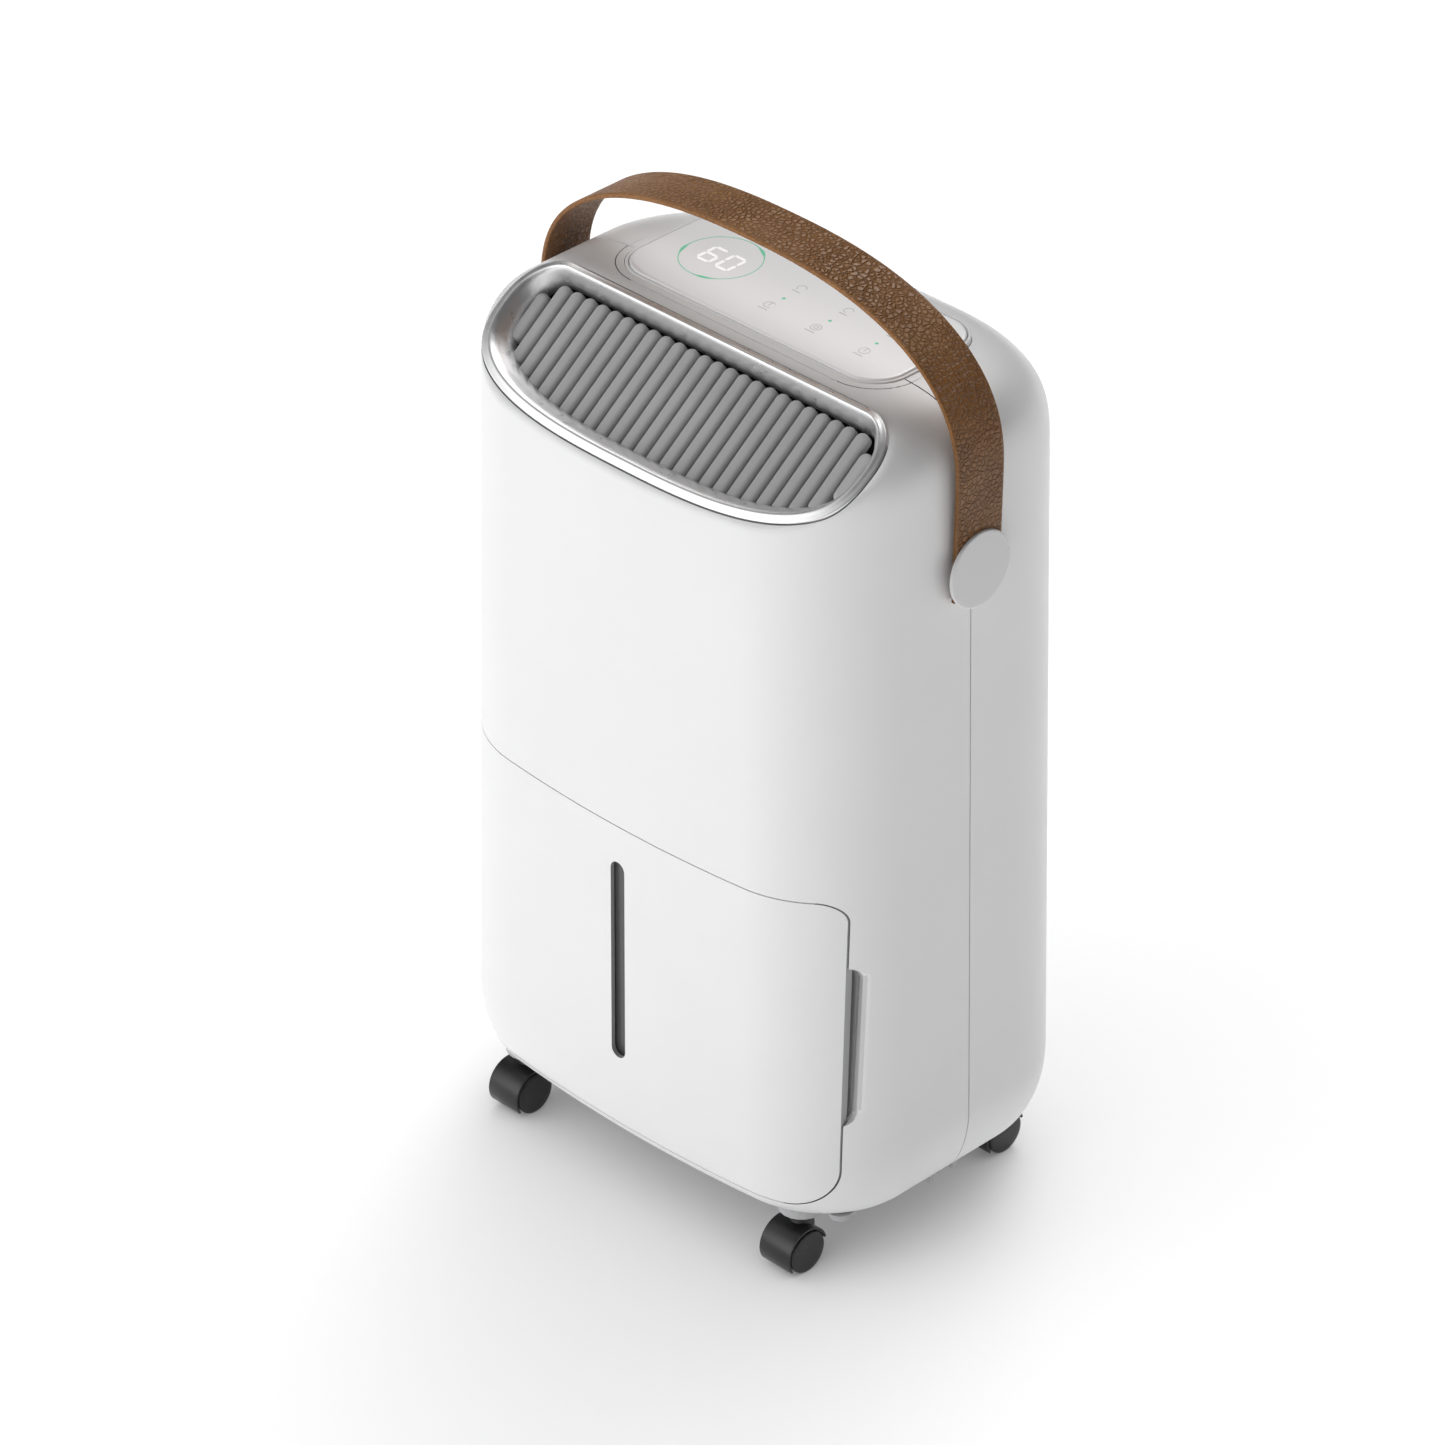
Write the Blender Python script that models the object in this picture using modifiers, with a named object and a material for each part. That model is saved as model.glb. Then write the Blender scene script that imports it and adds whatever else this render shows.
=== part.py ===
"""A portable room dehumidifier with a strap handle, a pull-out tank and four casters.

Lengths are written in millimetres and turned to metres where a mesh is made (MM).
Axes: +X is the machine's right-hand side, -Y its front, +Z up. The origin is on the
floor under the middle of the housing.
"""
import bmesh
import bpy
from math import atan, cos, pi, radians, sin, sqrt
from mathutils import Matrix, Vector

MM = 0.001
GAP = 0.3                       # between pieces that touch

# Housing
HOUSING_BOTTOM = 37.0
HOUSING_TOP = 496.5
REFERENCE_Z = 252.0             # height at which the half sizes below hold
HALF_WIDTH = 145.1
HALF_DEPTH = 104.1
SIDE_DRAFT = 0.019              # mm of half width lost per mm of height
DEPTH_DRAFT = 0.004
CORNER_RADIUS = 67.0
FRONT_BULGE = 4.3
SHOULDER = (61.0, 40.0, 3.0)    # inset, height and exponent of the rounding
BACK_SHOULDER = (39.0, 50.5, 2.0)
UNDERSIDE = (15.6, 39.5, 1.6)
UNDERSIDE_ENDS = (16.6, 36.4, 2.0)
WALL = 2.4
SPLIT_Y = 5.0                   # front and rear shells meet on this plane

# Sloping outlet at the front of the top
FACET_SLOPE = 0.651             # rise per mm towards the back
FACET_Y = -27.5                 # where the slope meets the flat top
OUTLET_HALF_WIDTH = 130.0
OUTLET_FRONT_Y = -99.0
OUTLET_REAR_RADIUS = 26.0
BAR_COUNT = 26
BAR_PITCH = 9.1
BAR_WIDTH = 7.8
BAR_THICKNESS = 5.0
BAR_SLOPE = radians(35.5)
BAR_REAR = (-34.0, 486.6)       # Y and Z of the rear tips' top edge
BAR_FRONT_Y = -86.8

# Control panel
PANEL_HALF_WIDTH = 92.5
PANEL_Y = (-13.2, 64.8)
PANEL_RADIUS = 20.0
PANEL_Z = (495.5, 497.6)
DISPLAY_CENTRE = (-54.5, 27.0)
DISPLAY_RADIUS = 22.0

# Handle
PIVOT_Z = 409.0
STRAP_OUTER_X = 147.0
STRAP_THICKNESS = 2.6
STRAP_WIDTH = 33.3
STRAP_RISE = 138.6              # pivot axis to the top of the arch
STRAP_STRAIGHT = 53.0           # straight part of each leg above the pivot
STRAP_TAIL = 13.0               # leg below the pivot
CAP_RADIUS = 21.3
CAP_X = (147.3, 149.2)
PIN_RADIUS = 5.0

# Water tank
TANK_HALF_WIDTH = 134.0
TANK_Z = (47.5, 238.0)
TANK_TOP_RADIUS = 12.0
TANK_BOTTOM_RADIUS = 27.0
WINDOW_HALF_WIDTH = 5.0
WINDOW_Z = (94.0, 216.0)
BUCKET_X = 104.0
BUCKET_Y = (-97.5, -2.0)
BUCKET_Z = (50.5, 205.0)
BUCKET_WALL = 2.0
RECESS_Y = (-82.0, -59.5)
RECESS_Z = (93.0, 198.0)
RECESS_X = 120.5
FLOAT_PIVOT = (-88.0, -22.0, 190.0)

# Rear intake
INTAKE_HALF_WIDTH = 72.0
INTAKE_Z = (234.0, 430.0)

# Fan, with its axis along Y
FAN_CENTRE = (0.0, 330.0)
FAN_RADIUS = 60.0
FAN_Y = (-22.0, 12.0)

COMPRESSOR_CENTRE = (48.0, 54.0)
DRAIN_X = 55.0
DRAIN_Z = 208.0
DRAIN_BORE = 5.0
DRAIN_LENGTH = 13.4

# Casters
STEM_X = 102.0
STEM_Y = (-72.0, 79.0)
STEM_RADIUS = 5.0
WHEEL_TRAIL = 6.0               # the axle runs this far in front of the stem
WHEEL_RADIUS = 12.2
WHEEL_WIDTH = 9.8
HOOD_RADIUS = 14.2
HOOD_THICKNESS = 1.5
HOOD_HALF_WIDTH = 8.6
WEB_HALF_WIDTH = 1.4
BOSS_RADIUS = 12.5
BOSS_Z = 33.6


# ---------------------------------------------------------------- scene and helpers

def clear_scene():
    for obj in list(bpy.data.objects):
        bpy.data.objects.remove(obj, do_unlink=True)


def collection(name):
    group = bpy.data.collections.new(name)
    bpy.context.scene.collection.children.link(group)
    return group


clear_scene()
PARTS = collection("dehumidifier")
CUTTERS = collection("cutters")


def material(name, colour, roughness, metallic=0.0):
    mat = bpy.data.materials.get(name)
    if mat is None:
        mat = bpy.data.materials.new(name)
        mat.use_nodes = True
        shader = mat.node_tree.nodes["Principled BSDF"]
        shader.inputs["Base Color"].default_value = (*colour, 1.0)
        shader.inputs["Roughness"].default_value = roughness
        shader.inputs["Metallic"].default_value = metallic
        mat.diffuse_color = (*colour, 1.0)
    return mat


WHITE = ("white_abs", (0.87, 0.87, 0.87), 0.30)
PANEL_WHITE = ("panel_gloss", (0.80, 0.80, 0.81), 0.12)
SILVER = ("satin_silver", (0.66, 0.66, 0.67), 0.28, 0.9)
GREY = ("grey_abs", (0.52, 0.52, 0.53), 0.55)
LEATHER = ("brown_leather", (0.17, 0.085, 0.035), 0.50)
CAP_GREY = ("cap_grey", (0.70, 0.70, 0.70), 0.35)
CLEAR = ("smoked_window", (0.06, 0.06, 0.06), 0.10)
TANK_GREY = ("tank_polypropylene", (0.35, 0.36, 0.37), 0.40)
BLACK = ("black_nylon", (0.02, 0.02, 0.02), 0.45)
STEEL = ("steel", (0.55, 0.56, 0.58), 0.35, 1.0)
COPPER = ("copper", (0.72, 0.36, 0.22), 0.30, 1.0)
ALUMINIUM = ("aluminium_fin", (0.75, 0.76, 0.78), 0.40, 1.0)
PAINT = ("black_paint", (0.03, 0.03, 0.035), 0.40)
BOARD = ("circuit_board", (0.02, 0.16, 0.07), 0.50)
FOAM = ("white_foam", (0.82, 0.82, 0.78), 0.90)
MESH = ("filter_mesh", (0.10, 0.11, 0.12), 0.80)
GREEN_LED = ("display_module", (0.05, 0.06, 0.06), 0.20)
RUBBER = ("rubber", (0.05, 0.05, 0.05), 0.80)


def add_object(name, mesh, finish, group=None):
    obj = bpy.data.objects.new(name, mesh)
    (group or PARTS).objects.link(obj)
    if finish:
        mesh.materials.append(material(*finish))
    return obj


def cutter(obj):
    """Turn an object into a construction aid that is no part of the product."""
    for group in list(obj.users_collection):
        group.objects.unlink(obj)
    CUTTERS.objects.link(obj)
    obj.hide_render = True
    obj.display_type = "WIRE"
    return obj


def from_bmesh(name, bm, finish, smooth=None):
    bmesh.ops.recalc_face_normals(bm, faces=bm.faces)
    mesh = bpy.data.meshes.new(name)
    bm.to_mesh(mesh)
    bm.free()
    if smooth is not None:
        mesh.shade_smooth()
        mesh.set_sharp_from_angle(angle=radians(smooth))
    return add_object(name, mesh, finish)


def box(name, x, y, z, finish=None, bevel=0.0):
    """A box between two limits on each axis."""
    bm = bmesh.new()
    size = Vector((x[1] - x[0], y[1] - y[0], z[1] - z[0])) * MM
    centre = Vector((x[0] + x[1], y[0] + y[1], z[0] + z[1])) * MM / 2
    bmesh.ops.create_cube(bm, size=1.0, matrix=Matrix.Translation(centre) @ Matrix.Diagonal((*size, 1.0)))
    obj = from_bmesh(name, bm, finish)
    if bevel:
        add_bevel(obj, bevel)
    return obj


def add_bevel(obj, width, segments=2, angle=40.0):
    mod = obj.modifiers.new("bevel", "BEVEL")
    mod.width = width * MM
    mod.segments = segments
    mod.limit_method = "ANGLE"
    mod.angle_limit = radians(angle)
    return obj


def cylinder(name, radius, start, end, finish=None, sides=32, top_radius=None):
    """A round bar or cone from one point to another."""
    a = Vector(start) * MM
    b = Vector(end) * MM
    turn = (b - a).to_track_quat("Z", "Y").to_matrix().to_4x4()
    bm = bmesh.new()
    bmesh.ops.create_cone(
        bm, cap_ends=True, segments=sides, radius1=radius * MM,
        radius2=(radius if top_radius is None else top_radius) * MM,
        depth=(b - a).length, matrix=Matrix.Translation((a + b) / 2) @ turn)
    return from_bmesh(name, bm, finish, smooth=35)


def plate(name, outline, low, high, finish=None, axis="Z"):
    """A flat outline given in the plane across an axis, filled between two levels on it."""
    curve = bpy.data.curves.new(name, "CURVE")
    curve.dimensions = "2D"
    curve.fill_mode = "BOTH"
    curve.extrude = (high - low) / 2 * MM
    curve.resolution_u = 1
    curve.render_resolution_u = 0
    spline = curve.splines.new("POLY")
    spline.points.add(len(outline) - 1)
    for point, (u, v) in zip(spline.points, outline):
        point.co = (u * MM, v * MM, 0.0, 1.0)
    spline.use_cyclic_u = True
    guide = bpy.data.objects.new(name + "_outline", curve)
    PARTS.objects.link(guide)
    middle = (low + high) / 2 * MM
    if axis == "Z":
        place = Matrix.Translation((0, 0, middle))
    elif axis == "Y":
        # outline given as (x, z)
        place = Matrix.Translation((0, middle, 0)) @ Matrix.Rotation(pi / 2, 4, "X")
    else:
        # outline given as (y, z)
        place = Matrix.Translation((middle, 0, 0)) @ Matrix(((0, 0, 1, 0), (1, 0, 0, 0), (0, 1, 0, 0), (0, 0, 0, 1)))
    mesh = mesh_of(guide)
    bpy.data.objects.remove(guide, do_unlink=True)
    mesh.transform(place)
    return add_object(name, mesh, finish)


def mesh_of(obj):
    """The evaluated shape of a curve or a modified object as a welded mesh."""
    graph = bpy.context.evaluated_depsgraph_get()
    mesh = bpy.data.meshes.new_from_object(obj.evaluated_get(graph))
    bm = bmesh.new()
    bm.from_mesh(mesh)
    bmesh.ops.remove_doubles(bm, verts=bm.verts, dist=1e-6)
    bmesh.ops.recalc_face_normals(bm, faces=bm.faces)
    bm.to_mesh(mesh)
    bm.free()
    return mesh


def turned(name, profile, finish=None, sides=40, place=None):
    """A turned piece: the profile lists (radius, height) from the top down."""
    bm = bmesh.new()
    verts = [bm.verts.new((r * MM, 0.0, z * MM)) for r, z in profile]
    for a, b in zip(verts, verts[1:]):
        bm.edges.new((a, b))
    mesh = bpy.data.meshes.new(name)
    bm.to_mesh(mesh)
    bm.free()
    obj = add_object(name, mesh, finish)
    mod = obj.modifiers.new("screw", "SCREW")
    mod.axis = "Z"
    mod.steps = sides
    mod.render_steps = sides
    mod.use_merge_vertices = True
    mod.merge_threshold = 1e-5
    mod.use_smooth_shade = True
    if place:
        obj.matrix_world = place
    return obj


def cut(obj, tool, operation="DIFFERENCE"):
    mod = obj.modifiers.new(tool.name, "BOOLEAN")
    mod.operation = operation
    mod.object = tool
    mod.solver = "EXACT"
    return obj


def baked(obj):
    """Apply an object's modifiers, so that several cuts aren't worked out again and again."""
    finish = list(obj.data.materials)
    mesh = mesh_of(obj)
    obj.modifiers.clear()
    old = obj.data
    obj.data = mesh
    mesh.materials.clear()
    for mat in finish:
        mesh.materials.append(mat)
    bpy.data.meshes.remove(old)
    return obj


def joined(name, objects, finish=None):
    """Several separate solids in one mesh, for use as one tool or before a union."""
    bm = bmesh.new()
    for obj in objects:
        mesh = mesh_of(obj)
        mesh.transform(obj.matrix_world)
        bm.from_mesh(mesh)
        bpy.data.meshes.remove(mesh)
        bpy.data.objects.remove(obj, do_unlink=True)
    return from_bmesh(name, bm, finish)


def set_origin(obj, point):
    """Move the object's origin without moving its shape."""
    target = Vector(point) * MM
    shift = target - obj.matrix_world.translation
    obj.data.transform(Matrix.Translation(-shift))
    obj.matrix_world = Matrix.Translation(target)


def arc(centre, radius, start, end, steps):
    """Points on an arc, radius as a number or as (rx, ry), angles in degrees."""
    rx, ry = radius if isinstance(radius, tuple) else (radius, radius)
    angles = [radians(start + (end - start) * i / steps) for i in range(steps + 1)]
    return [(centre[0] + rx * cos(a), centre[1] + ry * sin(a)) for a in angles]


def rounded_rectangle(x, y, radii, steps=5):
    """Outline of a rectangle, radii listed from the low-x low-y corner anticlockwise."""
    (x0, x1), (y0, y1) = x, y
    a, b, c, d = radii
    return (arc((x0 + a, y0 + a), a, 180, 270, steps) + arc((x1 - b, y0 + b), b, 270, 360, steps)
            + arc((x1 - c, y1 - c), c, 0, 90, steps) + arc((x0 + d, y1 - d), d, 90, 180, steps))


# ---------------------------------------------------------------- housing

def rounding(distance, shape):
    """Inset of a rounded edge, at a distance inside the face that it runs into."""
    inset, height, power = shape
    u = max(0.0, 1.0 - distance / height)
    return inset * (1.0 - (1.0 - u ** power) ** (1.0 / power))


def section(z, offset=0.0):
    """Half sizes of the housing at a height: half width, front y, back y, corner radius."""
    low = max(0.0, z - (HOUSING_BOTTOM + offset))
    high = max(0.0, (HOUSING_TOP - offset) - z)
    drop = rounding(low, UNDERSIDE)
    half = HALF_WIDTH - SIDE_DRAFT * (z - REFERENCE_Z) - drop - rounding(high, SHOULDER) - offset
    ends = HALF_DEPTH - DEPTH_DRAFT * (z - REFERENCE_Z) - rounding(low, UNDERSIDE_ENDS) - offset
    back = ends - rounding(high, BACK_SHOULDER)
    return half, -ends, back, CORNER_RADIUS - drop - offset


def plan_outline(z, offset=0.0):
    """Closed outline of the housing at a height, anticlockwise from the middle of the front."""
    half, front, back, radius = section(z, offset)
    flat = half - radius
    tilt = 2.0 * atan(FRONT_BULGE / flat)
    big = flat / sin(tilt) + radius
    crown = (0.0, front + big)
    corner_y = crown[1] - (big - radius) * cos(tilt)
    start = -90.0
    end = start + tilt * 180.0 / pi
    half_outline = arc(crown, big, start, end, 3)
    half_outline += arc((flat, corner_y), radius, end, 0.0, 6)[1:]
    rear = min(radius, back - corner_y - 1.0)
    half_outline += arc((half - rear, back - rear), rear, 0.0, 90.0, 6)
    mirrored = [(-x, y) for x, y in reversed(half_outline[1:])]
    return half_outline + mirrored


def levels(offset):
    """Heights of the loft's sections, close together where the edges are round."""
    low = HOUSING_BOTTOM + offset
    high = HOUSING_TOP - offset
    bottom = [low + UNDERSIDE[1] * (1.0 - cos(pi / 2 * i / 5)) for i in range(6)]
    walls = [252.0, high - 50.0]
    top = [high - SHOULDER[1] * (1.0 - sin(pi / 2 * i / 6)) for i in range(7)]
    return bottom + walls + top


def housing_solid(name, offset):
    """The whole housing as one lofted solid, smaller by an offset on every side."""
    bm = bmesh.new()
    rings = []
    for z in levels(offset):
        rings.append([bm.verts.new((x * MM, y * MM, z * MM)) for x, y in plan_outline(z, offset)])
    for lower, upper in zip(rings, rings[1:]):
        for i in range(len(lower)):
            j = (i + 1) % len(lower)
            bm.faces.new((lower[i], lower[j], upper[j], upper[i]))
    bm.faces.new(list(reversed(rings[0])))
    bm.faces.new(rings[-1])
    obj = from_bmesh(name, bm, None)
    wedge = facet_wedge(name + "_slope", offset)
    cut(obj, wedge)
    baked(obj)
    bpy.data.objects.remove(wedge, do_unlink=True)
    return cutter(obj)


def facet_height(y, offset=0.0):
    """Height of the outlet's sloping plane, lowered square to itself by an offset."""
    return HOUSING_TOP + FACET_SLOPE * (y - FACET_Y) - offset * sqrt(1.0 + FACET_SLOPE ** 2)


def facet_wedge(name, offset):
    """Everything in front of and above the sloping plane."""
    y0, y1 = -170.0, 40.0
    outline = [(y0, facet_height(y0, offset)), (y1, facet_height(y1, offset)), (y1, 700.0), (y0, 700.0)]
    return plate(name, outline, -220.0, 220.0, axis="X")


def facet_frame():
    """Matrix of the sloping plane: origin at its rear edge, x across, y up the slope."""
    slope = atan(FACET_SLOPE)
    return Matrix.Translation((0, FACET_Y * MM, HOUSING_TOP * MM)) @ Matrix.Rotation(slope, 4, "X")


def along_slope(y):
    """Plan y turned to a distance along the slope from its rear edge."""
    return (y - FACET_Y) * sqrt(1.0 + FACET_SLOPE ** 2)


def outlet_outline(inset=0.0):
    """The D-shaped outline on the sloping plane, in that plane's own x and y."""
    stretch = sqrt(1.0 + FACET_SLOPE ** 2)
    rear = arc((OUTLET_HALF_WIDTH - OUTLET_REAR_RADIUS, -OUTLET_REAR_RADIUS * stretch),
               (OUTLET_REAR_RADIUS - inset, OUTLET_REAR_RADIUS * stretch - inset), 0, 90, 6)
    front_centre = (75.0, along_slope(-54.0))
    front_ry = (97.0 - 54.0) * stretch
    front = arc(front_centre, (55.0 - inset, front_ry - inset), -90, 0, 8)
    tip = [(x, along_slope(OUTLET_FRONT_Y) + inset + 2.0 * stretch * (x / 75.0) ** 2) for x in (0.0, 25.0, 50.0)]
    half = tip + front + rear
    mirrored = [(-x, y) for x, y in reversed(half[1:])]
    return half + mirrored


def tank_outline(grow=0.0):
    """Front view of the tank's front, as (x, z)."""
    x = TANK_HALF_WIDTH + grow
    low = TANK_Z[0] - grow
    high = TANK_Z[1] + grow
    top = TANK_TOP_RADIUS + grow
    bottom = TANK_BOTTOM_RADIUS + grow
    return rounded_rectangle((-x, x), (low, high), (bottom, bottom, top, top), 5)


def panel_outline(grow=0.0):
    x = PANEL_HALF_WIDTH + grow
    r = PANEL_RADIUS + grow
    return rounded_rectangle((-x, x), (PANEL_Y[0] - grow, PANEL_Y[1] + grow), (r, r, r, r), 5)


def stadium(half_width, low, high, steps=6):
    """A slot with round ends, its length on the second axis."""
    return (arc((0, high - half_width), half_width, 0, 180, steps)
            + arc((0, low + half_width), half_width, 180, 360, steps))


OUTER = housing_solid("housing_outer", 0.0)
INNER = housing_solid("housing_inner", WALL)


def tank_front_space(name, depth, grow, skin_only):
    """Front view outline carried into the housing to a depth below its surface."""
    obj = plate(name, tank_outline(grow), -150.0, -40.0, axis="Y")
    if skin_only:
        cut(obj, OUTER, "INTERSECT")
    core = housing_solid(name + "_core", depth)
    cut(obj, core)
    baked(obj)
    bpy.data.objects.remove(core, do_unlink=True)
    return obj


def side_recess(side, grow, name):
    """The finger recess beside the tank: a box with round corners that opens sideways."""
    y = (RECESS_Y[0], RECESS_Y[1] + grow)
    z = (RECESS_Z[0] - grow, RECESS_Z[1] + grow)
    outline = rounded_rectangle(y, z, (1.0, 9.0 + grow, 9.0 + grow, 1.0), 5)
    x = sorted((side * (RECESS_X - grow), side * 170.0))
    return plate(name, outline, x[0], x[1], axis="X")


def half_space(name, y0, y1):
    return cutter(box(name, (-200, 200), (y0, y1), (0, 600)))


def caster_places():
    return [(x, y) for y in STEM_Y for x in (-STEM_X, STEM_X)]


def base_outline(grow=0.0):
    x = 126.0 + grow
    return rounded_rectangle((-x, x), (-81.0 - grow, 86.0 + grow), [45.0 + grow] * 4, 5)


def shell(name, y0, y1):
    """One half of the housing's skin."""
    obj = mesh_copy(OUTER, name)
    cut(obj, INNER)
    cut(obj, half_space(name + "_half", y0, y1), "INTERSECT")
    baked(obj)
    openings = [
        cutter(plate(name + "_base_cut", base_outline(GAP), 0.0, 60.0)),
        cutter(plate(name + "_panel_cut", panel_outline(GAP), PANEL_Z[0] - GAP, 520.0)),
        cutter(plate(name + "_board_cut", panel_outline(-6.0), 480.0, 520.0)),
        cutter(cylinder(name + "_pin_cut", PIN_RADIUS + GAP, (-170, SPLIT_Y, PIVOT_Z), (170, SPLIT_Y, PIVOT_Z))),
    ]
    for x, y in caster_places():
        if y0 < y < y1:
            openings.append(cutter(cylinder(name + "_boss_cut", BOSS_RADIUS + GAP, (x, y, 20), (x, y, 60), sides=20)))
    for tool in openings:
        cut(obj, tool)
    return obj


def mesh_copy(source, name):
    mesh = source.data.copy()
    mesh.materials.clear()
    return add_object(name, mesh, WHITE)


def finish_shading(obj, angle=30):
    """Evaluate the cuts once and shade the curved skin smooth."""
    baked(obj)
    obj.data.shade_smooth()
    obj.data.set_sharp_from_angle(angle=radians(angle))
    return obj


def front_shell():
    obj = shell("front_shell", -200.0, SPLIT_Y - GAP / 2)
    inner_fit = housing_solid("pocket_limit", WALL - 0.4)
    for side in (-1, 1):
        pocket = side_recess(side, WALL, "pocket_block")
        trim = box("pocket_trim", (-200, 200), (-79.0, 0), (0, 600))
        cut(pocket, trim, "INTERSECT")
        cut(pocket, inner_fit, "INTERSECT")
        baked(pocket)
        cut(obj, cutter(pocket), "UNION")
        baked(obj)
        bpy.data.objects.remove(pocket, do_unlink=True)
        bpy.data.objects.remove(trim, do_unlink=True)
    for side in (-1, 1):
        cut(obj, cutter(side_recess(side, 0.0, "recess_cut")))
    cut(obj, cutter(tank_front_space("tank_front_cut", WALL + 1.0, GAP, False)))
    outlet = plate("outlet_cut", outlet_outline(2.6), -25.0, 25.0)
    outlet.matrix_world = facet_frame()
    cut(obj, cutter(outlet))
    bpy.data.objects.remove(inner_fit, do_unlink=True)
    return finish_shading(obj)


def rear_shell():
    obj = shell("rear_shell", SPLIT_Y + GAP / 2, 200.0)
    intake = rounded_rectangle((-INTAKE_HALF_WIDTH, INTAKE_HALF_WIDTH), INTAKE_Z, [8.0] * 4, 3)
    cut(obj, cutter(plate("intake_cut", intake, 60.0, 140.0, axis="Y")))
    cut(obj, cutter(box("inlet_cut", (-60.3, -29.7), (80, 140), (67.7, 92.3))))
    cut(obj, cutter(cylinder("drain_cut", 9.8, (DRAIN_X, 80, DRAIN_Z), (DRAIN_X, 140, DRAIN_Z), sides=24)))
    for x, z in screw_places():
        cut(obj, cutter(cylinder("screw_cut", 4.1, (x, 80, z), (x, 140, z), sides=16)))
    return finish_shading(obj)


def base_plate():
    obj = plate("base_plate", base_outline(0.0), HOUSING_BOTTOM, 42.0, GREY)
    for x, y in caster_places():
        boss = cutter(cylinder("boss", BOSS_RADIUS, (x, y, BOSS_Z), (x, y, 41.0), sides=20))
        cut(obj, boss, "UNION")
    baked(obj)
    for x, y in caster_places():
        cut(obj, cutter(cylinder("stem_cut", 3.3, (x, y, 20.0), (x, y, 60.0), sides=16)))
    vents = [box("vent", (-60, 60), (y, y + 4.0), (30, 50)) for y in (-30.0, -20.0, -10.0)]
    cut(obj, cutter(joined("base_vents", vents)))
    return finish_shading(obj)


def bay_partition():
    """Ceiling and back wall of the tank bay, in one sheet."""
    outline = [(-82.0, 212.5), (1.0, 212.5), (1.0, 43.0), (3.4, 43.0), (3.4, 215.0), (-82.0, 215.0)]
    obj = plate("bay_partition", outline, -116.0, 116.0, GREY, axis="X")
    cut(obj, cutter(cylinder("drain_drop_cut", 9.0, (0, -30, 200), (0, -30, 230), sides=20)))
    return obj


# ---------------------------------------------------------------- outlet

def outlet_bezel():
    """The satin ring around the outlet: a profile carried round the D outline."""
    profile = [(0.0, 0.3), (0.5, 1.2), (1.8, 1.9), (3.4, 1.9), (4.8, 1.0), (5.8, -1.0), (6.8, -9.0),
               (5.4, -9.0), (4.4, -2.0), (3.2, -0.6), (3.2, 0.3)]
    loops = [outlet_outline(inset) for inset, _ in profile]
    bm = bmesh.new()
    rings = []
    for loop, (_, height) in zip(loops, profile):
        rings.append([bm.verts.new((x * MM, y * MM, height * MM)) for x, y in loop])
    for i, ring in enumerate(rings):
        after = rings[(i + 1) % len(rings)]
        for j in range(len(ring)):
            k = (j + 1) % len(ring)
            bm.faces.new((ring[j], ring[k], after[k], after[j]))
    bmesh.ops.transform(bm, matrix=facet_frame(), verts=bm.verts)
    return from_bmesh("outlet_bezel", bm, SILVER, smooth=40)


def bar_front_y(x):
    """Where a bar's front tip lies, following the outlet's front edge."""
    return BAR_FRONT_Y + 22.8 * (abs(x) / 118.0) ** 4.2


def outlet_grille():
    """Bars that run up the slope, held by two cross ribs under them."""
    frame = Matrix.Translation((0, BAR_REAR[0] * MM, BAR_REAR[1] * MM)) @ Matrix.Rotation(BAR_SLOPE, 4, "X")
    bars = []
    for i in range(BAR_COUNT):
        x = (i - (BAR_COUNT - 1) / 2) * BAR_PITCH
        rear_y = -7.0 if i in (0, BAR_COUNT - 1) else 0.0
        front_y = bar_front_y(x) - BAR_REAR[0]
        outline = [(x + u, v) for u, v in stadium(BAR_WIDTH / 2, front_y / cos(BAR_SLOPE), rear_y, 3)]
        bar = plate("bar", outline, -BAR_THICKNESS, 0.0)
        bar.matrix_world = frame
        bars.append(bar)
    obj = joined("outlet_grille", bars, GREY)
    ribs = []
    for y in (-12.0, -42.0):
        reach = 114.0
        rib = box("rib", (-reach, reach), (y - 1.5, y + 1.5), (-9.0, -BAR_THICKNESS + 1.5))
        rib.matrix_world = frame
        ribs.append(rib)
    tool = cutter(joined("grille_ribs", ribs))
    cut(obj, tool, "UNION")
    return obj


# ---------------------------------------------------------------- control panel

def control_panel():
    obj = plate("control_panel", panel_outline(), *PANEL_Z, PANEL_WHITE)
    return add_bevel(obj, 0.7, 2)


def control_board():
    return plate("control_board", rounded_rectangle((-80, 80), (-3, 54), [4] * 4, 2), 486.0, 487.6, BOARD)


def display_module():
    x, y = DISPLAY_CENTRE
    return cylinder("display_module", DISPLAY_RADIUS + 1.5, (x, y, 487.9), (x, y, 493.5), GREEN_LED, sides=40)


# ---------------------------------------------------------------- handle

def arch(offset, steps=22):
    """The strap's outer curve from the right pivot over the top to the left, inset by an offset."""
    half = STRAP_OUTER_X - offset
    rise = STRAP_RISE - STRAP_STRAIGHT - offset
    power = 2.42
    points = []
    for i in range(steps + 1):
        a = pi * i / steps
        u = abs(cos(a)) ** (2.0 / power) * (1.0 if a <= pi / 2 else -1.0)
        v = sin(a) ** (2.0 / power)
        points.append((half * u, PIVOT_Z + STRAP_STRAIGHT + rise * v))
    return points


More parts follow.
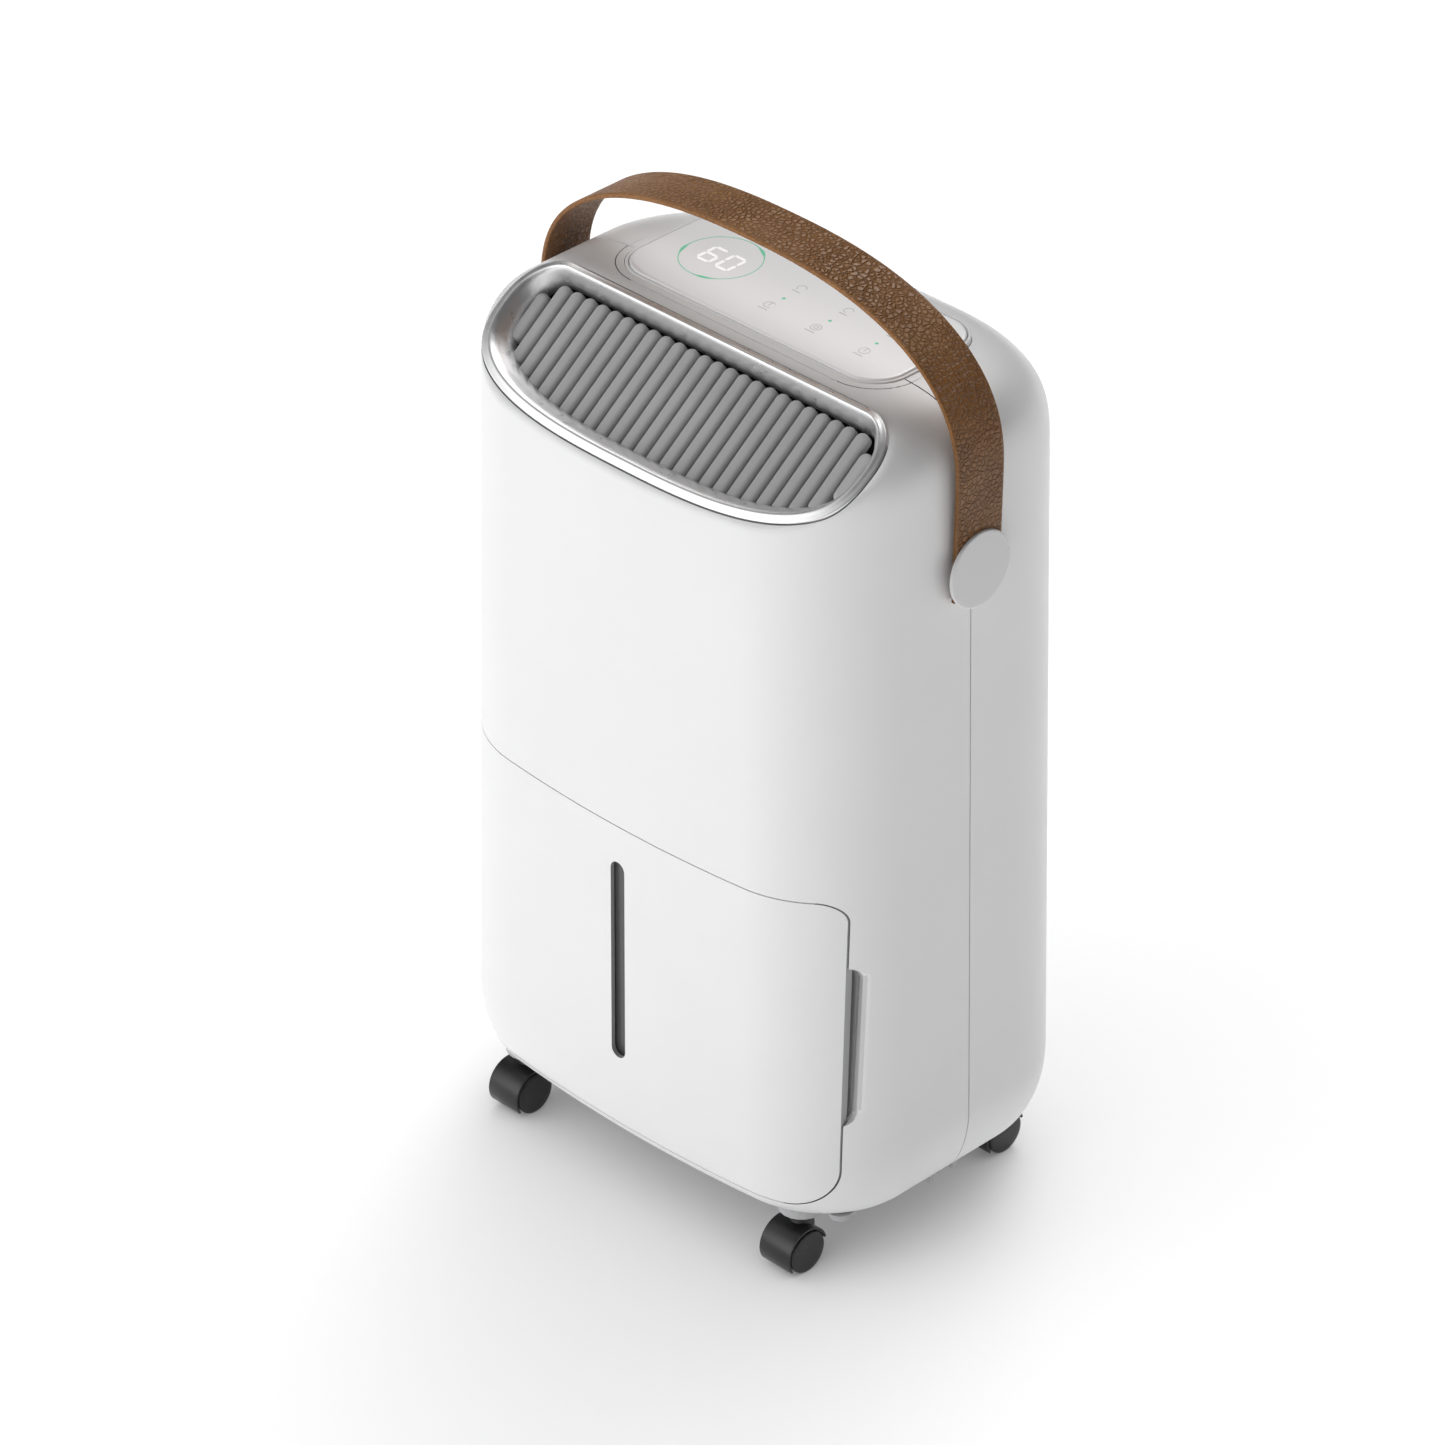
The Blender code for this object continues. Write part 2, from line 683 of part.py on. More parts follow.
def handle_strap():
    foot = PIVOT_Z - STRAP_TAIL
    outer = [(STRAP_OUTER_X, foot)] + arch(0.0) + [(-STRAP_OUTER_X, foot)]
    inner_x = STRAP_OUTER_X - STRAP_THICKNESS
    inner = [(inner_x, foot)] + arch(STRAP_THICKNESS) + [(-inner_x, foot)]
    outline = outer + list(reversed(inner))
    low = SPLIT_Y - STRAP_WIDTH / 2
    obj = plate("handle_strap", outline, low, low + STRAP_WIDTH, LEATHER, axis="Y")
    set_origin(obj, (0, SPLIT_Y, PIVOT_Z))
    hole = cylinder("strap_hole", PIN_RADIUS + GAP, (-170, SPLIT_Y, PIVOT_Z), (170, SPLIT_Y, PIVOT_Z), sides=24)
    cut(obj, cutter(hole))
    return obj


def handle_end(side, label):
    """Cap and pivot pin at one end of the strap."""
    at = (SPLIT_Y, PIVOT_Z)
    cap = cylinder("handle_cap_" + label, CAP_RADIUS, (side * CAP_X[0], *at), (side * CAP_X[1], *at),
                   CAP_GREY, sides=36)
    add_bevel(cap, 0.5, 1, 60)
    pin = cylinder("pivot_pin_" + label, PIN_RADIUS, (side * 131.0, *at), (side * 147.0, *at), STEEL, sides=24)
    head = cutter(cylinder("pin_head_" + label, 9.0, (side * 128.0, *at), (side * 132.0, *at), sides=24))
    cut(pin, head, "UNION")
    baked(pin)
    for obj in (cap, pin):
        baked(obj)
        set_origin(obj, (side * CAP_X[0], *at))
    return cap, pin


# ---------------------------------------------------------------- tank

def tank_front():
    obj = tank_front_space("tank_front", WALL, 0.0, True)
    obj.data.materials.append(material(*WHITE))
    slot = plate("window_cut", stadium(WINDOW_HALF_WIDTH, *WINDOW_Z), -150.0, -80.0, axis="Y")
    cut(obj, cutter(slot))
    return finish_shading(obj)


def tank_window():
    outline = stadium(WINDOW_HALF_WIDTH + 3.0, WINDOW_Z[0] - 3.0, WINDOW_Z[1] + 3.0)
    return plate("tank_window", outline, -101.2, -99.4, CLEAR, axis="Y")


def bucket_outline(inset=0.0):
    x = BUCKET_X - inset
    front, rear = 25.0 - inset, 12.0 - inset
    return rounded_rectangle((-x, x), (BUCKET_Y[0] + inset, BUCKET_Y[1] - inset), (front, front, rear, rear), 5)


def tank_bucket():
    obj = plate("tank_bucket", bucket_outline(), *BUCKET_Z, TANK_GREY)
    inside = housing_solid("bucket_limit", WALL + 0.6)
    cut(obj, inside, "INTERSECT")
    baked(obj)
    hollow = plate("bucket_cut", bucket_outline(BUCKET_WALL), BUCKET_Z[0] + BUCKET_WALL, 300.0)
    core = housing_solid("bucket_core", WALL + 0.6 + BUCKET_WALL)
    cut(hollow, core, "INTERSECT")
    baked(hollow)
    cut(obj, cutter(hollow))
    return finish_shading(obj)


def tank_lid():
    obj = plate("tank_lid", bucket_outline(), BUCKET_Z[1] + GAP, BUCKET_Z[1] + 2.8, TANK_GREY)
    cut(obj, cutter(cylinder("lid_cut", 14.0, (0, -30, 190), (0, -30, 230), sides=24)))
    cut(obj, cutter(box("lid_grip_cut", (-80, -40), (-90, -72), (190, 230))))
    return finish_shading(obj)


def tank_float():
    """A sealed foam block on an arm that tips about a pin on the tank's side."""
    x, y, z = FLOAT_PIVOT
    obj = box("tank_float", (x - 6, x + 16), (y - 34, y - 8), (z - 26, z - 10), FOAM, bevel=1.5)
    baked(obj)
    arm = cutter(box("float_arm", (x - 3, x + 3), (y - 20, y + 3), (z - 14, z + 3)))
    cut(obj, arm, "UNION")
    baked(obj)
    cut(obj, cutter(cylinder("float_hole", 1.8, (x - 20, y, z), (x + 20, y, z), sides=12)))
    baked(obj)
    set_origin(obj, FLOAT_PIVOT)
    return obj


def float_pin():
    x, y, z = FLOAT_PIVOT
    wall = -(BUCKET_X - BUCKET_WALL - GAP)
    return cylinder("float_pin", 1.5, (wall, y, z), (x + 9.0, y, z), STEEL, sides=12)


def float_switch():
    return box("float_switch", (-98, -78), (3.7, 12), (186, 204), BLACK, bevel=1.0)


# ---------------------------------------------------------------- rear intake

def intake_grille():
    x = INTAKE_HALF_WIDTH - GAP
    z = (INTAKE_Z[0] + GAP, INTAKE_Z[1] - GAP)
    obj = plate("intake_grille", rounded_rectangle((-x, x), z, [7.7] * 4, 3), 100.6, 103.2, WHITE, axis="Y")
    slots = []
    pitch = 11.0
    for i in range(16):
        low = INTAKE_Z[0] + 9.5 + i * pitch
        for left, right in ((-64, -22.5), (-20.5, 20.5), (22.5, 64)):
            slots.append(box("slot", (left, right), (90, 120), (low, low + 8.0)))
    cut(obj, cutter(joined("intake_slots", slots)))
    return baked(obj)


def filter_frame():
    z = (INTAKE_Z[0] + 4.0, INTAKE_Z[1] - 4.0)
    obj = box("filter_frame", (-67, 67), (95.0, 100.0), z, GREY)
    window = box("filter_cut", (-62, 62), (80, 120), (z[0] + 5, z[1] - 5))
    bars = [box("bar", (x - 1.2, x + 1.2), (96.8, 99.0), (z[0] + 1, z[1] - 1)) for x in (-21.5, 21.5)]
    cut(obj, cutter(window))
    baked(obj)
    cut(obj, cutter(joined("filter_bars", bars)), "UNION")
    return baked(obj)


def filter_mesh():
    z = (INTAKE_Z[0] + 9.5, INTAKE_Z[1] - 9.5)
    return box("filter_mesh", (-61.5, 61.5), (95.4, 96.4), z, MESH)


# ---------------------------------------------------------------- cooling circuit

def coil(name, y, fins):
    """A finned block: thin plates stacked between two tube headers."""
    x, z = 84.0, (236.0, 426.0)
    step = (z[1] - z[0]) / fins
    plates = [box("fin", (-x, x), y, (z[0] + i * step, z[0] + i * step + 1.6)) for i in range(fins + 1)]
    obj = joined(name, plates, ALUMINIUM)
    middle = (y[0] + y[1]) / 2
    columns = [(side * 78.0, middle) for side in (-1, 1)] + [(0.0, middle)]
    posts = [box("post", (cx - 3, cx + 3), (cy - 3, cy + 3), (z[0] + 0.8, z[1] + 0.8)) for cx, cy in columns]
    cut(obj, cutter(joined(name + "_headers", posts)), "UNION")
    return baked(obj)


def foot_places():
    """Three rubber feet, a third of a turn apart round the compressor."""
    x, y = COMPRESSOR_CENTRE
    return [(x + 40 * cos(radians(a)), y + 40 * sin(radians(a))) for a in (30, 150, 270)]


def compressor_base_outline():
    """Triangular base with round corners over the feet."""
    points = []
    for i, (x, y) in enumerate(foot_places()):
        middle = (30, 150, 270)[i]
        points += arc((x, y), 8.0, middle - 60, middle + 60, 5)
    return points


def compressor():
    profile = [(0.0, 196.0), (20.0, 195.0), (34.0, 188.0), (40.0, 176.0), (41.0, 172.0), (41.0, 74.0),
               (38.0, 64.0), (28.0, 58.0), (0.0, 57.0)]
    place = Matrix.Translation((COMPRESSOR_CENTRE[0] * MM, COMPRESSOR_CENTRE[1] * MM, 0))
    obj = turned("compressor", profile, PAINT, 28, place)
    foot = plate("compressor_base", compressor_base_outline(), 55.5, 58.5)
    cut(obj, cutter(foot), "UNION")
    return obj


def compressor_feet():
    for i, (x, y) in enumerate(foot_places(), 1):
        cylinder("compressor_foot_%d" % i, 5.0, (x, y, 42.3), (x, y, 55.2), RUBBER, sides=16)


def refrigerant_tube():
    """Copper line from the compressor's top up to the coils."""
    curve = bpy.data.curves.new("refrigerant_tube", "CURVE")
    curve.dimensions = "3D"
    curve.bevel_depth = 3.0 * MM
    curve.bevel_resolution = 2
    curve.use_fill_caps = True
    curve.resolution_u = 1
    curve.render_resolution_u = 0
    route = [(66, 54, 196.0)] + [(x, 54 + 18 * (1 - cos(pi / 2 * i / 5)), 204 + 12 * sin(pi / 2 * i / 5))
                                 for i, x in enumerate((67, 70, 76, 84, 92, 97))]
    route += [(98 + 3 * sin(pi / 2 * i / 4), 72.0, 222 + 14 * i / 4) for i in range(1, 5)]
    route += [(101, 72, 300), (101, 72, 400)]
    spline = curve.splines.new("POLY")
    spline.points.add(len(route) - 1)
    for point, co in zip(spline.points, route):
        point.co = (co[0] * MM, co[1] * MM, co[2] * MM, 1.0)
    obj = bpy.data.objects.new("refrigerant_tube", curve)
    PARTS.objects.link(obj)
    curve.materials.append(material(*COPPER))
    return obj


def drip_tray():
    obj = box("drip_tray", (-92, 92), (14, 90), (219, 232), TANK_GREY)
    cut(obj, cutter(box("tray_cut", (-90, 90), (16, 88), (221, 240))))
    baked(obj)
    spout = cutter(box("tray_spout", (-8, 8), (-38, 15), (217.5, 224)))
    cut(obj, spout, "UNION")
    baked(obj)
    cut(obj, cutter(box("spout_cut", (-6, 6), (-36, 18), (221, 240))))
    cut(obj, cutter(cylinder("spout_drop", 4.0, (0, -30, 210), (0, -30, 230), sides=12)))
    return baked(obj)


# ---------------------------------------------------------------- fan

def fan_wheel():
    """A centrifugal wheel: hub, back plate, blades and front ring."""
    x, z = FAN_CENTRE
    back = cylinder("fan_wheel", FAN_RADIUS, (x, FAN_Y[0], z), (x, FAN_Y[0] + 2.0, z), BLACK, sides=36)
    blades = []
    count = 18
    for i in range(count):
        a = 2 * pi * i / count
        blade = box("blade", (44.0, FAN_RADIUS - 0.6), (FAN_Y[0] + 1.0, FAN_Y[1] - 0.8), (-0.7, 0.7))
        lean = Matrix.Translation((52 * MM, 0, 0)) @ Matrix.Rotation(radians(28), 4, "Y") @ Matrix.Translation((-52 * MM, 0, 0))
        blade.matrix_world = Matrix.Translation((x * MM, 0, z * MM)) @ Matrix.Rotation(a, 4, "Y") @ lean
        blades.append(blade)
    tool = cutter(joined("fan_blades", blades))
    cut(back, tool, "UNION")
    ring = cylinder("fan_ring", FAN_RADIUS, (x, FAN_Y[1] - 2.0, z), (x, FAN_Y[1], z), sides=36)
    cut(ring, cutter(cylinder("fan_eye", 46.0, (x, 0, z), (x, 30, z), sides=36)))
    baked(ring)
    cut(back, cutter(ring), "UNION")
    hub = cutter(cylinder("fan_hub", 9.0, (x, FAN_Y[0] + 1, z), (x, FAN_Y[0] + 16, z), sides=20))
    cut(back, hub, "UNION")
    baked(back)
    cut(back, cutter(cylinder("fan_bore", 3.3, (x, -60, z), (x, FAN_Y[0] + 12, z), sides=16)))
    baked(back)
    set_origin(back, (x, FAN_Y[0], z))
    return back


def fan_motor():
    x, z = FAN_CENTRE
    body = cylinder("fan_motor", 30.0, (x, -60.0, z), (x, -30.5, z), STEEL, sides=32)
    shaft = cutter(cylinder("motor_shaft", 3.0, (x, -31.0, z), (x, -11.0, z), sides=16))
    cut(body, shaft, "UNION")
    return baked(body)


def fan_scroll():
    """Housing round the wheel: open at the top to the outlet, with an eye at the back."""
    x, z = FAN_CENTRE
    sides = (-72.0, 72.0)
    obj = box("fan_scroll", sides, (-28.5, 18.0), (262, 436), BLACK)
    cut(obj, cutter(box("scroll_cut", (-70, 70), (-26.5, 16.0), (264, 460))))
    cut(obj, cutter(cylinder("scroll_eye", 46.0, (x, 0, z), (x, 60, z), sides=40)))
    cut(obj, cutter(cylinder("scroll_shaft_cut", 8.0, (x, -60, z), (x, 0, z), sides=20)))
    return baked(obj)


# ---------------------------------------------------------------- electrics and small parts

def power_inlet():
    """Appliance inlet: a flange on the back with a socket and three flat contacts."""
    obj = box("power_inlet", (-60.0, -30.0), (86.0, 104.6), (68.0, 92.0), BLACK)
    socket = rounded_rectangle((-57.0, -33.0), (71.5, 88.5), (1.5, 1.5, 4.0, 4.0), 2)
    cut(obj, cutter(plate("socket_cut", socket, 88.5, 130.0, axis="Y")))
    baked(obj)
    pins = [box("contact", (-45 + dx - 1, -45 + dx + 1), (87.5, 101.0), (78 + dz, 82 + dz))
            for dx, dz in ((-7, -2), (0, 2), (7, -2))]
    cut(obj, cutter(joined("inlet_pins", pins)), "UNION")
    return baked(obj)


def power_board():
    obj = plate("power_board", rounded_rectangle((-112, -40), (60, 190), [3] * 4, 2), 20.0, 21.6, BOARD, axis="Y")
    return obj


def run_capacitor():
    return cylinder("run_capacitor", 14.0, (-76, 50, 90), (-76, 50, 150), ALUMINIUM, sides=28)


def humidity_sensor():
    return box("humidity_sensor", (86, 94), (74, 88), (432, 444), WHITE, bevel=1.0)


def drain_port():
    """Flanged spout for a drain hose, its bore open to the back."""
    back = 104.4
    profile = [(9.5, back), (9.5, back - 2.0), (6.9, back - 2.0), (6.9, back - DRAIN_LENGTH),
               (DRAIN_BORE, back - DRAIN_LENGTH), (DRAIN_BORE, back), (9.5, back)]
    place = Matrix.Translation((DRAIN_X * MM, 0, DRAIN_Z * MM)) @ Matrix.Rotation(-pi / 2, 4, "X")
    return turned("drain_port", profile, GREY, 24, place)


def screw_places():
    return [(x, z) for x in (-66.0, 66.0) for z in (66.0, 200.0)]


def shell_screws():
    profile = [(0.0, 103.9), (1.9, 103.9), (3.6, 103.1), (3.8, 102.6), (1.9, 102.6), (1.9, 94.0), (0.0, 93.0)]
    for i, (x, z) in enumerate(screw_places(), 1):
        place = Matrix.Translation((x * MM, 0, z * MM)) @ Matrix.Rotation(-pi / 2, 4, "X")
        turned("shell_screw_%d" % i, profile, STEEL, 16, place)


# ---------------------------------------------------------------- casters

def caster(label, x, y):
    """A twin-wheel caster: swivelling hood with its stem, axle, and two wheels."""
    axle_y = y - WHEEL_TRAIL
    centre = (axle_y, WHEEL_RADIUS)
    inner = HOOD_RADIUS - HOOD_THICKNESS
    outline = (arc(centre, HOOD_RADIUS, 20, 205, 12) + arc(centre, inner, 205, 20, 12))
    hood = plate("caster_%s_hood" % label, outline, x - HOOD_HALF_WIDTH, x + HOOD_HALF_WIDTH, BLACK, axis="X")
    web_outline = arc(centre, inner + 0.5, 10, 200, 10) + arc(centre, 4.5, 240, 330, 3)
    web = plate("web", web_outline, x - WEB_HALF_WIDTH, x + WEB_HALF_WIDTH, axis="X")
    stem = cylinder("stem", STEM_RADIUS, (x, y, 16.0), (x, y, BOSS_Z - GAP), sides=20)
    cut(stem, cutter(cylinder("stem_space", inner + 0.7, (x - 20, *centre), (x + 20, *centre), sides=32)))
    baked(stem)
    pin = cylinder("stem_pin", 3.0, (x, y, 30.0), (x, y, 44.0), sides=16)
    for piece in (web, stem, pin):
        cut(hood, cutter(piece), "UNION")
        baked(hood)
    bore = cylinder("axle_cut", 2.1, (x - 20, *centre), (x + 20, *centre), sides=12)
    cut(hood, cutter(bore))
    baked(hood)
    set_origin(hood, (x, y, WHEEL_RADIUS))
    axle = cylinder("caster_%s_axle" % label, 1.8, (x - 9.5, *centre), (x + 9.5, *centre), STEEL, sides=14)
    set_origin(axle, (x, *centre))
    for side, name in ((-1, "left"), (1, "right")):
        near = x + side * (WEB_HALF_WIDTH + 0.4)
        far = x + side * (WEB_HALF_WIDTH + 0.4 + WHEEL_WIDTH)
        wheel = cylinder("caster_%s_wheel_%s" % (label, name), WHEEL_RADIUS, (near, *centre), (far, *centre),
                         BLACK, sides=26)
        add_bevel(wheel, 0.8, 1, 60)
        baked(wheel)
        end = x + side * (9.5 + GAP)
        hole = cylinder("hub_cut", 2.1, (near - side * 2, *centre), (end, *centre), sides=12)
        cut(wheel, cutter(hole))
        baked(wheel)
        set_origin(wheel, (x, *centre))


# ---------------------------------------------------------------- assembly

def build():
    front_shell()
    rear_shell()
    base_plate()
    bay_partition()
    outlet_bezel()
    outlet_grille()
    control_panel()
    control_board()
    display_module()
    handle_strap()
    for side, label in ((1, "right"), (-1, "left")):
        handle_end(side, label)
    tank_front()
    tank_window()
    tank_bucket()
    tank_lid()
    tank_float()
    float_pin()
    float_switch()
    intake_grille()
    filter_frame()
    filter_mesh()
    coil("evaporator", (66.0, 84.0), 9)
    coil("condenser", (40.0, 58.0), 9)
    compressor()
    compressor_feet()
    refrigerant_tube()
    drip_tray()
    fan_wheel()
    fan_motor()
    fan_scroll()
    power_inlet()
    power_board()
    run_capacitor()
    humidity_sensor()
    drain_port()
    shell_screws()
    for label, x, y in (("front_left", -STEM_X, STEM_Y[0]), ("front_right", STEM_X, STEM_Y[0]),
                        ("rear_left", -STEM_X, STEM_Y[1]), ("rear_right", STEM_X, STEM_Y[1])):
        caster(label, x, y)


build()
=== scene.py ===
"""Looks for the portable dehumidifier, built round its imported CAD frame.

Lengths are in millimetres and become metres where a mesh is made (MM). The frame's axes
hold: +X is the machine's right-hand side as the camera sees it, -Y the front, +Z up.

The housing is one dense grid of points. Shells, tank front and ledges are cut from it with
Booleans, and take their smooth normals from the uncut surface (Skin and dress).
"""

from math import atan, cos, pi, radians, sin, sqrt

import bmesh
import bpy
import numpy as np
from mathutils import Matrix, Vector
from mathutils.bvhtree import BVHTree


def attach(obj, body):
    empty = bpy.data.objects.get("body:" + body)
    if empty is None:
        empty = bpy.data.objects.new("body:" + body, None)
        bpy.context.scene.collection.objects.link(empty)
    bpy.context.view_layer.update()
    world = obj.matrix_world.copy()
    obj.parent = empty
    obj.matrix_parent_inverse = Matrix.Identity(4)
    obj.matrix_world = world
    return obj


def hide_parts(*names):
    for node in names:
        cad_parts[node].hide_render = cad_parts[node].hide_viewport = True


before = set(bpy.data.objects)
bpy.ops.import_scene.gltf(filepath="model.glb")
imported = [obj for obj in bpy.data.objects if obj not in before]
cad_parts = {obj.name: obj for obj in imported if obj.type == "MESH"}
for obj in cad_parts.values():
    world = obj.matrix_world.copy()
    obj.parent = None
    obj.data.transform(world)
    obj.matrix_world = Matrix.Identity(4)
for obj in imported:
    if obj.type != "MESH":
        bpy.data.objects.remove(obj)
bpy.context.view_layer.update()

MM = 0.001

# Housing, as in the CAD; each rounding is (inset, height, power)
HOUSING_BOTTOM = 37.0
HOUSING_TOP = 496.5
REFERENCE_Z = 252.0
HALF_WIDTH = 145.1
HALF_DEPTH = 104.1
SIDE_DRAFT = 0.019
DEPTH_DRAFT = 0.004
CORNER_RADIUS = 67.0
FRONT_BULGE = 4.3
SHOULDER = (61.0, 40.0, 3.0)
BACK_SHOULDER = (39.0, 50.5, 2.0)
TOP_ROUND = 52.0
UNDERSIDE = (15.6, 39.5, 1.6)
UNDERSIDE_ENDS = (16.6, 36.4, 2.0)
WALL = 2.4
SPLIT_Y = 5.0
SEAM = 0.38                     # half width of the seams between mouldings

# Outlet
SLOPE = 0.651
SLOPE_Y = -27.5
STRETCH = sqrt(1.0 + SLOPE ** 2)
OUTLET_HALF_WIDTH = 130.0
OUTLET_CORNER = 26.0            # of the two rear corners
OUTLET_FRONT_Y = -54.0          # where the curved front edge begins
OUTLET_FRONT_REACH = 46.7
OUTLET_POWER = 2.85             # of the superellipse that the front edge follows
DUCT_WALL = (7.2, 8.4)
DUCT_HEIGHT = (-26.0, -8.0)
BAR_COUNT = 26
BAR_PITCH = 9.13
BAR_WIDTH = 7.9
BAR_SLOPE = atan(0.743)
BAR_REAR = (-34.2, 486.4)
SHORT_BAR_Y = (-41.0, -64.5)

# Control panel
PANEL_HALF_WIDTH = 92.5
PANEL_Y = (-13.2, 64.8)
PANEL_RADIUS = 20.0
PANEL_TOP = 497.6
PANEL_LINE = (6.85, 7.4)        # the fine groove round the panel
RING_CENTRE = (-54.8, 26.9)
RING_RADIUS = 22.0
RING_SWELLS = (196.0, 60.0, 290.0)
KEY_X = (-3.5, 29.3, 62.8)
LAMP_X = (-2.7, 29.7, 62.1)
LAMP_Y = 19.2
NEAR_KEY_Y = 9.6
FAR_KEY_Y = 33.2

# Handle
PIVOT_Z = 409.0
STRAP_WIDTH = 33.3
STRAP_THICKNESS = 2.5
STRAP_EDGE = 0.75
STRAP_HALF_SPAN = 148.0
STRAP_ARCH_Z = 462.0            # where the straight legs end
STRAP_RISE = 85.8
STRAP_POWER = 2.42
STRAP_FOOT = 14.0               # how far the legs run past the pivot
STRAP_LEAN = 1.3
PIN_CLEARANCE = 5.3
CAP_INNER_X = 147.25

# Tank
TANK_HALF_WIDTH = 133.5
TANK_Z = (47.5, 238.0)
TANK_TOP_RADIUS = 12.0
TANK_BOTTOM_RADIUS = 27.0
WINDOW_Z = (94.0, 216.0)
WINDOW_HALF_WIDTH = 5.0

# Finger recesses
RECESS_Y = (-86.0, -64.6)
RECESS_Z = (101.0, 198.0)
RECESS_LEAN = 0.045
RECESS_LEAN_Z = 182.0
RECESS_WALL_X = 137.1           # where the dished edge meets the pocket
POCKET_X = (118.5, 150.0)
POCKET_Y = (-82.0, -51.0)
POCKET_Z = (89.0, 202.0)

# Openings in the back, as in the CAD
INTAKE_X = (-72.0, 72.0)
INTAKE_Z = (234.0, 430.0)
INTAKE_RADIUS = 8.0
INLET_X = (-60.3, -29.7)
INLET_Z = (67.7, 92.3)
DRAIN_X = 55.0
DRAIN_Z = 208.0
DRAIN_RADIUS = 9.8
SCREW_X = (-66.0, 66.0)
SCREW_Z = (66.0, 200.0)
SCREW_RADIUS = 4.1

# Light: soft sources as (direction, spread exponent, peak), a weak fill, and a sun for the floor alone
LIGHTS = (((-0.41, -0.89, 0.22), 4.4, 2.36), ((-0.30, 0.62, 0.74), 20.0, 5.5))
LIGHT_FILL = 0.075
FLOOR_LIGHT = 2.9
FLOOR_LIGHT_ANGLE = 110.0
FLOOR_LIGHT_WAY = (-0.08, 0.12, 1.0)
FLOOR_ALBEDO = 0.62
FLOOR_HALF_SIZE = 30.0

# Camera, in metres: where it looks, the direction back to it, how far away it is, and its lens
CAMERA_TARGET = (-0.0162, -0.0111, 0.2517)
CAMERA_WAY = (0.5932, -0.5988, 0.5380)
CAMERA_DISTANCE = 4.009
CAMERA_LENS = 192.1

# Casters
STEM_X = 102.0
STEM_Y = (-72.0, 79.0)
BOSS_CLEARANCE = 12.8
TRAIL = 6.0
WHEEL_RADIUS = 12.2
HOOD_OUTER = 14.2
HOOD_INNER = 13.0
HOOD_HALF_WIDTH = 10.7
BORE_RADIUS = 2.1
WHEEL_FACES = (1.8, 11.5)       # a wheel's near and far face, from the middle of the caster


# ---- small helpers

def arc(centre, radius, start, end, steps):
    """Points on an arc; radius is a number or (rx, ry), angles are in degrees."""
    rx, ry = radius if isinstance(radius, tuple) else (radius, radius)
    angles = np.radians(np.linspace(start, end, steps + 1))
    return [(centre[0] + rx * cos(a), centre[1] + ry * sin(a)) for a in angles]


def rounded_rectangle(x, y, radii, steps=12):
    """Radii run from the low-x low-y corner anticlockwise."""
    (x0, x1), (y0, y1) = x, y
    a, b, c, d = radii
    return (arc((x0 + a, y0 + a), a, 180, 270, steps) + arc((x1 - b, y0 + b), b, 270, 360, steps)
            + arc((x1 - c, y1 - c), c, 0, 90, steps) + arc((x0 + d, y1 - d), d, 90, 180, steps))


def stadium(half_width, low, high, steps=14):
    """A slot outline with round ends, along the second coordinate."""
    return (arc((0, high - half_width), half_width, 0, 180, steps)
            + arc((0, low + half_width), half_width, 180, 360, steps))


def new_object(name, data):
    obj = bpy.data.objects.new(name, data)
    bpy.context.scene.collection.objects.link(obj)
    return obj


def add(name, bm, finish=None, smooth=None):
    """A new object from a bmesh in millimetres."""
    bmesh.ops.scale(bm, vec=(MM, MM, MM), verts=bm.verts)
    bmesh.ops.recalc_face_normals(bm, faces=bm.faces)
    mesh = bpy.data.meshes.new(name)
    bm.to_mesh(mesh)
    bm.free()
    if finish:
        mesh.materials.append(finish)
    if smooth is not None:
        mesh.shade_smooth()
        mesh.set_sharp_from_angle(angle=radians(smooth))
    return new_object(name, mesh)


def add_rings(bm, rings, wrap=False):
    """Join closed rings of equal length in a bmesh; wrap joins the last to the first."""
    rows = [[bm.verts.new(p) for p in ring] for ring in rings]
    pairs = list(zip(rows, rows[1:]))
    if wrap:
        pairs.append((rows[-1], rows[0]))
    for lower, upper in pairs:
        count = len(lower)
        for i in range(count):
            j = (i + 1) % count
            bm.faces.new((lower[i], lower[j], upper[j], upper[i]))
    if not wrap:
        bm.faces.new(list(reversed(rows[0])))
        bm.faces.new(rows[-1])


def loft(rings, wrap=False):
    bm = bmesh.new()
    add_rings(bm, rings, wrap)
    return bm


TURNED_HOLE = 0.02              # a turned piece's radius on its axis, so that no face has zero area

AXIS_PLACES = {
    "X": lambda u, v, w: (w, u, v),
    "Y": lambda u, v, w: (u, w, v),
    "Z": lambda u, v, w: (u, v, w),
}


def prism(name, outline, low, high, axis="Z", finish=None):
    """An outline carried along an axis from low to high."""
    to_world = AXIS_PLACES[axis]
    rings = [[to_world(u, v, w) for u, v in outline] for w in (low, high)]
    return add(name, loft(rings), finish)


def rectangle(x, y):
    return [(x[0], y[0]), (x[1], y[0]), (x[1], y[1]), (x[0], y[1])]


def box(name, x, y, z, finish=None):
    return prism(name, rectangle(x, y), z[0], z[1], "Z", finish)


def circle(centre, radius, axis, sides):
    """Points on a circle round an axis."""
    turn = axis.to_track_quat("Z", "Y").to_matrix()
    u, v = turn @ Vector((1, 0, 0)), turn @ Vector((0, 1, 0))
    angles = [2 * pi * i / sides for i in range(sides)]
    return [centre + u * radius * cos(a) + v * radius * sin(a) for a in angles]


def rod(name, radius, start, end, sides=48):
    a, b = Vector(start), Vector(end)
    return add(name, loft([circle(c, radius, b - a, sides) for c in (a, b)]))


